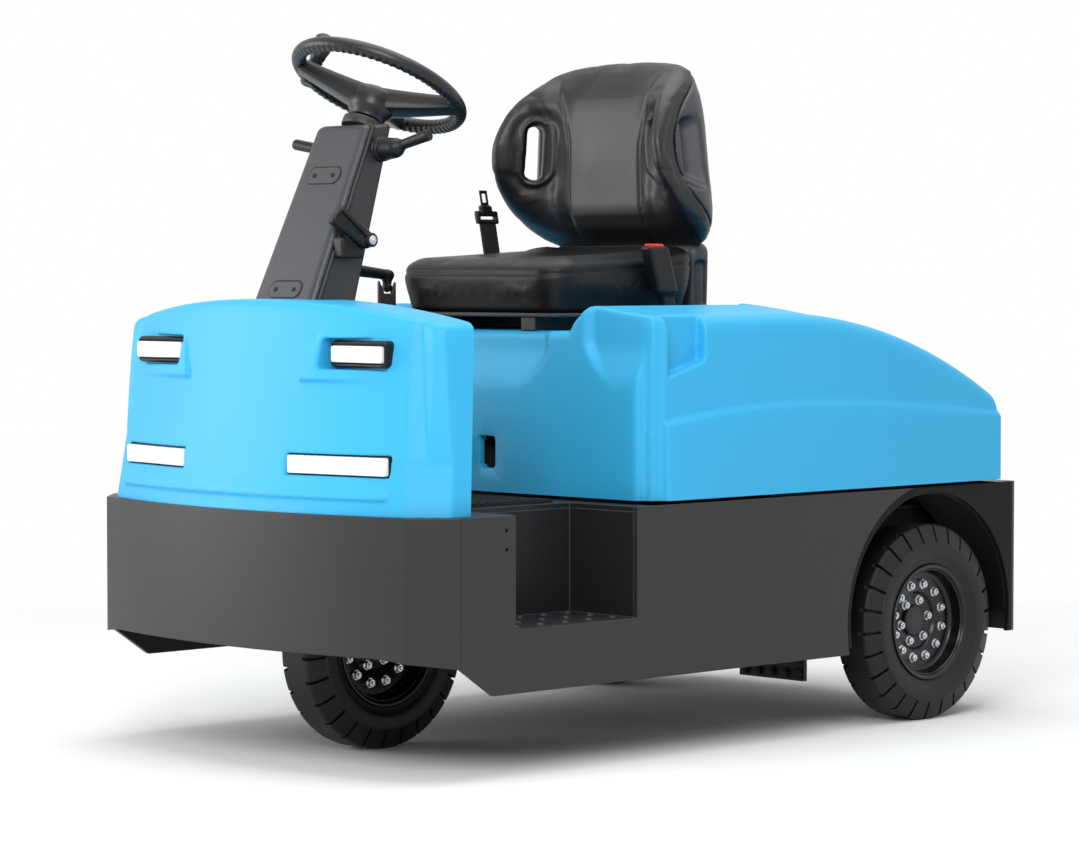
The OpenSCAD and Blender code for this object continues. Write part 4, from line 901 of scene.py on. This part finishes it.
def hood_field(x, y, z):
    across = np.abs(x)
    d = y - HOOD_Y
    crest = hood_crest(np.clip(d, 0, HOOD_L + 40))
    band = 644 + 40 * np.sin(math.pi * np.clip(d / HOOD_L, 0, 1) ** 0.8)
    side = across - HALF_W + 10 * step(z - band, -9, 9)
    top = z - crest + 24 * step(across, 250, 500)
    corner = ((across - HALF_W + HOOD_CORNER) - d) * math.sqrt(0.5)
    along = ((across - HALF_W + HOOD_CORNER) + d) * math.sqrt(0.5)
    flute = 5 * np.sin(np.clip(along / (HOOD_CORNER * math.sqrt(2)), 0, 1) * 2 * math.pi) ** 2
    body = soft_max(soft_max(side, top, 40), corner + flute, 6)
    centre_patch = 18 * step(z, 706, 800) * (1 - step(across + 70 * step(800 - z, 0, 100), 200, 236))
    shoulder_patch = 18 * step(z, 716, 812) * step(across - 60 * step(800 - z, -20, 90), 322, 352)
    shoulder_patch = shoulder_patch * (1 - step(across, 505, 521))
    body = soft_max(body, -d + centre_patch + shoulder_patch, 10)
    body = soft_max(body, d - HOOD_L, 30)
    well = soft_max(across - 290 - 40 * step(z, 836, 886), 832 - z, 18)
    well = np.maximum(well, d - 500)
    tray = soft_max(soft_max(across - 275, 848 - z, 14), d - 700, 14)
    body = soft_max(soft_max(body, -well, 16), -tray, 12)
    floor = 745 + 30 * np.clip((d - 56) / 105, 0, 1)
    pocket = soft_max(soft_max(np.abs(d - 108.5) - 52.5, floor - z, 10), HALF_W - 36 - across, 8)
    body = soft_max(body, -pocket, 7)
    slot = np.maximum(lamp_hole(x, z, 29, 76, 551, 617, 8), d - 22)
    body = soft_max(body, -slot, 2)
    dimple = 12 - np.sqrt((across - HALF_W + 16) ** 2 + (d - 16) ** 2 + (z - 640) ** 2)
    return soft_max(body, dimple, 3)


points, faces = skin_of(hood_field, (-532, -312, 490), (532, 810, 902), 5.0)


def hood_mouth(at):
    """The slot through the hood's front wall."""
    x, y, z = at.T
    return (np.abs(y - HOOD_Y - 22) < 3) & (np.abs(x - 52.5) < 24) & (np.abs(z - 584) < 34)


hood = shell_of("hood_shell", points, faces, blue_panel, 5, 0.30, hood_mouth,
                [((0, 0, HOOD_Z), (0, 0, -1))])
fit(hood, "blue_panel", "hood_lid", "hood")

# The seat's steel and shell: two slide rails bolted to the hood, a pressed pan and the moulded grey
# shell behind the cushion, hollowed at its ends, that carries the backrest.
black_enamel = finish("black_enamel", "#121213", 0.4, specular=0.4, tone=0.1, patch=20, bump=0.12,
                      edge=0.002, rub=0.15)
seat_plastic = finish("seat_plastic", "#37383c", 0.42, specular=0.4, tone=0.06, patch=10, grain=620,
                      bump=0.16, edge=0.003)
dress(black_enamel, "seat_rails")


def shell_field(x, y, z):
    across = np.abs(x)
    pan = box_far(x, y, z, (-232, -288, 859), (232, 170, 867), 3)
    lean = y - 0.03 * (z - 868)
    body = box_far(across, lean, z, (-300, 143, 860), (212, 198, 1012), 24)
    hollow = box_far(across, y, z, (196, 154, 874), (260, 184, 974), 11)
    return soft_min(soft_max(body, -hollow, 5), pan, 4)


seat_pan = moulded("seat_rear_shell", shell_field, (-244, -296, 850), (244, 214, 1020), 4.0, seat_plastic,
                   40)
fit(seat_pan, "black_plastic", "hood_lid", "seat_shell")

# The seat cushion: moulded foam under black vinyl, its top panel sewn in with a drawn-in seam and a
# dish for the driver, rising a little to the rear.
seat_vinyl = finish("seat_vinyl", "#0e0e10", 0.42, specular=0.5, tone=0.08, patch=10, grain=950, bump=0.2,
                    depth=0.0005, edge=0.001)


def cushion_field(x, y, z):
    dx = np.abs(x) - 245 + 62
    dy = np.abs(y + 80) - 218 + 62
    plan = np.hypot(np.maximum(dx, 0), np.maximum(dy, 0)) + np.minimum(np.maximum(dx, dy), 0) - 62
    top = 973 + 23 * np.clip((y + 298) / 436, 0, 1)
    dip = 9 * (1 - step(np.hypot(x / 200, (y + 60) / 190), 0.25, 1.0))
    crown = z - top + dip + 9 * step(-y, 230, 300) - 9 * step(y, 50, 125)
    seam = 4.0 * np.exp(-((z - top + 27) / 3.6) ** 2) * step(plan, -18, -9)
    side = plan + 20 * np.clip((965 - z) / 97, 0, 1) + seam - 3 * np.exp(-((z - 925) / 30) ** 2)
    return soft_max(soft_max(side, crown, 34), 868 - z, 12)


def plumped(name, field, low, high, material, cap):
    """The pad blown up a little by cloth simulation, each point's travel capped, then subdivided once."""
    piece = moulded(name, field, low, high, 5.0, material, 180)
    start = np.array([v.co[:] for v in piece.data.vertices])
    cloth = piece.modifiers.new("cloth", "CLOTH")
    cloth.settings.use_pressure = True
    cloth.settings.uniform_pressure_force = 4
    cloth.settings.effector_weights.gravity = 0
    cloth.settings.quality = 5
    cloth.point_cache.frame_start, cloth.point_cache.frame_end = 1, 20
    for number in range(1, 21):
        bpy.context.scene.frame_set(number)
    swollen = piece.evaluated_get(bpy.context.evaluated_depsgraph_get())
    moved = np.array([v.co[:] for v in swollen.data.vertices]) - start
    piece.modifiers.clear()
    bpy.context.scene.frame_set(1)
    travel = np.linalg.norm(moved, axis=1)[:, None]
    moved *= np.minimum(1, cap * 0.001 / np.maximum(travel, 1e-9))
    piece.data.vertices.foreach_set("co", (start + moved).ravel())
    piece.data.shade_smooth()
    rounder = piece.modifiers.new("rounder", "SUBSURF")
    rounder.levels = rounder.render_levels = 1
    return piece


cushion_vinyl = finish("cushion_vinyl", "#0e0e10", 0.46, specular=0.28, tone=0.08, patch=10, grain=950,
                       bump=0.2,
                       depth=0.0005, edge=0.001)
cushion = plumped("seat_cushion_pad", cushion_field, (-262, -312, 855), (262, 152, 1012), cushion_vinyl, 3)
fit(cushion, "seat_vinyl", "hood_lid", "seat_cushion")

# The backrest: a cupped foam pad under vinyl with a smooth middle panel and rolled wings, pressed
# into a grey moulded back cover; a grip hole through each wing has a raised lip.
BACK_AT, BACK_LEAN = np.array([0.0, 95.0, 998.0]), math.radians(2)
back_rise = 402 * np.array([-0.03, 0, 0.06, 0.12, 0.165, 0.215, 0.305, 0.405, 0.55, 0.65, 0.73, 0.8, 0.875,
                            0.925,
                            0.962, 0.985, 1.0])
back_half = np.array([232, 240, 262, 269, 271, 271, 266, 258, 249, 243, 236, 227, 212, 200, 176, 136, 70.0])
back_edge = np.array([84, 70, 42, 8, -22, -45, -82, -110, -119, -102, -84, -56, -14, 16, 30, 34, 38.0])


def back_parts(x, y, z):
    """Distances of the backrest: its whole body, and how far a point lies inside the rear cover."""
    ly = (y - BACK_AT[1]) * math.cos(BACK_LEAN) - (z - BACK_AT[2]) * math.sin(BACK_LEAN)
    h = (y - BACK_AT[1]) * math.sin(BACK_LEAN) + (z - BACK_AT[2]) * math.cos(BACK_LEAN)
    across = np.abs(x)
    half = np.interp(h, back_rise, back_half)
    edge = sum(np.interp(h + d, back_rise, back_edge) for d in (-18, -9, 0, 9, 18)) / 5
    tilt = (np.interp(h + 6, back_rise, back_edge) - np.interp(h - 6, back_rise, back_edge)) / 12
    qx, qy = across - half + 88, ly - 95 + 88
    outer = np.hypot(np.maximum(qx, 0), np.maximum(qy, 0)) + np.minimum(np.maximum(qx, qy), 0) - 88
    panel = -9 * np.exp(-((h - 200) / 110) ** 2) + 14 * step(h, 290, 400)
    line = np.interp(h, [0, 40, 220, 300, 350, 402], [110, 107, 105, 122, 140, 158])
    fold = 5 * np.exp(-((across - line) / 4.5) ** 2) * step(h, 20, 60) * (1 - step(h, 370, 398))
    roll = 9 * np.exp(-((across - line - 26) / 17) ** 2) * step(h, 30, 110) * (1 - step(h, 300, 390))
    cx, cy = across - half + 30 + 128, ly - panel + 128
    cup = np.hypot(np.maximum(cx, 0), np.maximum(cy, 0)) + np.minimum(np.maximum(cx, cy), 0) - 128
    t = -(across - 222) * math.sin(math.radians(25)) + (ly + 15) * math.cos(math.radians(25))
    a = (across - 222) * math.cos(math.radians(25)) + (ly + 15) * math.sin(math.radians(25))
    wide = np.interp(a, [-50, -10, 45], [19, 19, 34])
    tall = np.interp(a, [-50, -10, 45], [58, 58, 79])
    hole = np.hypot(np.maximum(np.abs(t) - wide + 17, 0), np.maximum(np.abs(h - 205) - tall + 17, 0)) - 17
    lip = 6 * np.exp(-((hole - 9) / 6) ** 2) * (1 - step(a, -5, 10))
    well = 7 * (1 - step(hole, 16, 44)) * (1 - step(a, -5, 10))
    behind = cup - fold + roll + lip - well
    body = soft_max(outer, -behind, 26)
    body = soft_max(body, (edge - ly) / np.sqrt(1 + tilt ** 2), 40)
    body = soft_max(soft_max(body, h - 402, 40), -h, 12)
    padding = 34 + 30 * step(h, 290, 395)
    cover = soft_min(behind - padding, (ly - edge - 62) * 0.8, 20)
    return soft_max(body, -hole, 9), cover


def back_field(x, y, z):
    body, cover = back_parts(x, y, z)
    return soft_max(body, cover + 0.5, 6)


def back_cover_field(x, y, z):
    body, cover = back_parts(x, y, z)
    return soft_max(body + 1.0, 1.0 - cover, 5)


backrest = plumped("seat_back_pad", back_field, (-285, -45, 990), (285, 205, 1412), seat_vinyl, 3)
fit(backrest, "seat_vinyl", "hood_lid", "seat_back")
back_cover = moulded("seat_back_cover", back_cover_field, (-285, -45, 990), (285, 215, 1412), 5.0,
                     seat_plastic, 50)
fit(back_cover, "black_plastic", "hood_lid")

# The lap belt: woven black webbing, stiff enough to stand up beside the cushion, with an enamelled
# steel tongue sewn to its end.
belt_webbing = finish("belt_webbing", "#18181a", 0.7, tone=0.12, patch=40, grain=1400, bump=0.4,
                      edge=0.0005)


def strap_field(x, y, z):
    lean = y - 12 + 0.2 * (z - 990)
    return box_far(x, lean, z, (-263, -23, 846), (-257, 23, 1062), 1.6)


def tongue_field(x, y, z):
    lean = y - 12 + 0.2 * (z - 990)
    plate = box_far(x, lean, z, (-266, -31, 1052), (-254, 31, 1080), 4)
    window = box_far(x, lean, z, (-280, -22, 1058), (-240, 22, 1068), 2)
    grip = box_far(x, lean, z, (-266, -17, 1070), (-254, 17, 1092), 5)
    blade = box_far(x, lean, z, (-262, -11, 1080), (-258, 11, 1124), 1.6)
    notch = box_far(x, lean, z, (-280, -6, 1098), (-240, 6, 1117), 2)
    return soft_min(soft_max(plate, -window, 2), np.minimum(grip, soft_max(blade, -notch, 1)), 2)


strap = moulded("belt_strap", strap_field, (-270, -50, 840), (-250, 70, 1070), 2.2, belt_webbing, 40)
fit(strap, "belt_webbing", "hood_lid", "belt_tongue")
tongue = moulded("belt_tongue_plate", tongue_field, (-272, -70, 1044), (-248, 60, 1130), 1.8, black_enamel,
                 40)
fit(tongue, "black_steel", "hood_lid")

# The buckle: a black plastic block on a stiff stalk at the other side of the cushion, its red release
# set into the top.


def buckle_field(x, y, z):
    lean = y + 10 + 0.32 * (z - 940)
    body = box_far(x, lean, z, (250, -30, 905), (280, 28, 1002), 7)
    stalk = box_far(x, lean, z, (254, -16, 836), (272, 20, 920), 5)
    button = box_far(x, lean, z, (256, -24, 992), (274, 22, 1020), 3)
    return soft_max(soft_min(body, stalk, 10), -button, 1.5)


def release_field(x, y, z):
    lean = y + 10 + 0.32 * (z - 940)
    return box_far(x, lean, z, (257, -23, 985), (273, 21, 1007), 3)


release_red = finish("release_red", "#d8281e", 0.35, tone=0.06, patch=60, grain=700, bump=0.08, edge=0.001)
for name, field, material, nodes in (("belt_buckle_body", buckle_field, black_plastic, ("belt_buckle",)),
                                     ("belt_release", release_field, release_red, ())):
    buckle = moulded(name, field, (244, -80, 828), (288, 76, 1014), 2.2, material, 40)
    fit(buckle, "black_plastic", "hood_lid", *nodes)

# The studio: a plain pale floor that runs to the horizon, a broad soft light overhead, one at each
# side of the nose and an even pale sky.
floor_mesh = bpy.data.meshes.new("studio_floor")
floor_mesh.from_pydata([(-40, -40, 0), (40, -40, 0), (40, 40, 0), (-40, 40, 0)], [], [(0, 1, 2, 3)])
floor = linked("studio_floor", floor_mesh)
floor_paint = finish("studio_floor_paint", "#f6f6f6", 0.9, tone=0.01, patch=0.5, bump=0.0, edge=0.0)


def seen_share(tree):
    """One for the rays that look at the background itself, in a lens, a mirror or a glass."""
    rays = tree.nodes.new("ShaderNodeLightPath")
    share = rays.outputs["Is Camera Ray"]
    for kind in ("Is Glossy Ray", "Is Transmission Ray"):
        share = maths(tree, "MAXIMUM", share, rays.outputs[kind])
    return share


tree = floor_paint.node_tree
middle = tree.nodes.new("ShaderNodeTexCoord")
reach = tree.nodes.new("ShaderNodeVectorMath")
reach.operation = "LENGTH"
fade = tree.nodes.new("ShaderNodeMapRange")
fade.inputs["From Min"].default_value = 1.6
fade.inputs["From Max"].default_value = 3.2
glow = tree.nodes.new("ShaderNodeEmission")
blend = tree.nodes.new("ShaderNodeMixShader")
tree.links.new(middle.outputs["Object"], reach.inputs[0])
tree.links.new(reach.outputs["Value"], fade.inputs["Value"])
tree.links.new(maths(tree, "MULTIPLY", fade.outputs["Result"], seen_share(tree)), blend.inputs[0])
tree.links.new(tree.nodes["Principled BSDF"].outputs[0], blend.inputs[1])
tree.links.new(glow.outputs[0], blend.inputs[2])
tree.links.new(blend.outputs[0], tree.nodes["Material Output"].inputs["Surface"])
floor_mesh.materials.append(floor_paint)

world = bpy.data.worlds.new("studio")
bpy.context.scene.world = world
world.use_nodes = True
sky = world.node_tree.nodes["Background"]
seen = world.node_tree.nodes.new("ShaderNodeBackground")
seen.inputs["Color"].default_value = (1, 1, 1, 1)
seen.inputs["Strength"].default_value = 1.0
sky.inputs["Color"].default_value = (1, 1, 1, 1)
sky.inputs["Strength"].default_value = 0.48
chosen = world.node_tree.nodes.new("ShaderNodeMixShader")
wanted = seen_share(world.node_tree)
world.node_tree.links.new(wanted, chosen.inputs[0])
world.node_tree.links.new(sky.outputs[0], chosen.inputs[1])
world.node_tree.links.new(seen.outputs[0], chosen.inputs[2])
world.node_tree.links.new(chosen.outputs[0], world.node_tree.nodes["World Output"].inputs["Surface"])


def softbox(name, place, target, size, power):
    """A square soft light at a place, turned to a target."""
    data = bpy.data.lights.new(name, "AREA")
    data.shape = "SQUARE"
    data.size = size
    data.energy = power
    lamp = linked(name, data)
    lamp.location = place
    lamp.rotation_euler = (Vector(target) - Vector(place)).to_track_quat("-Z", "Y").to_euler()


softbox("overhead", (0.4, 0.2, 4.2), (0, 0, 0), 4.0, 120)
softbox("front", (-3.5, -3.9, 1.7), (0, -0.3, 0.7), 3.0, 125)
softbox("fill", (2.9, -3.6, 2.9), (0, -0.2, 0.5), 2.0, 118)
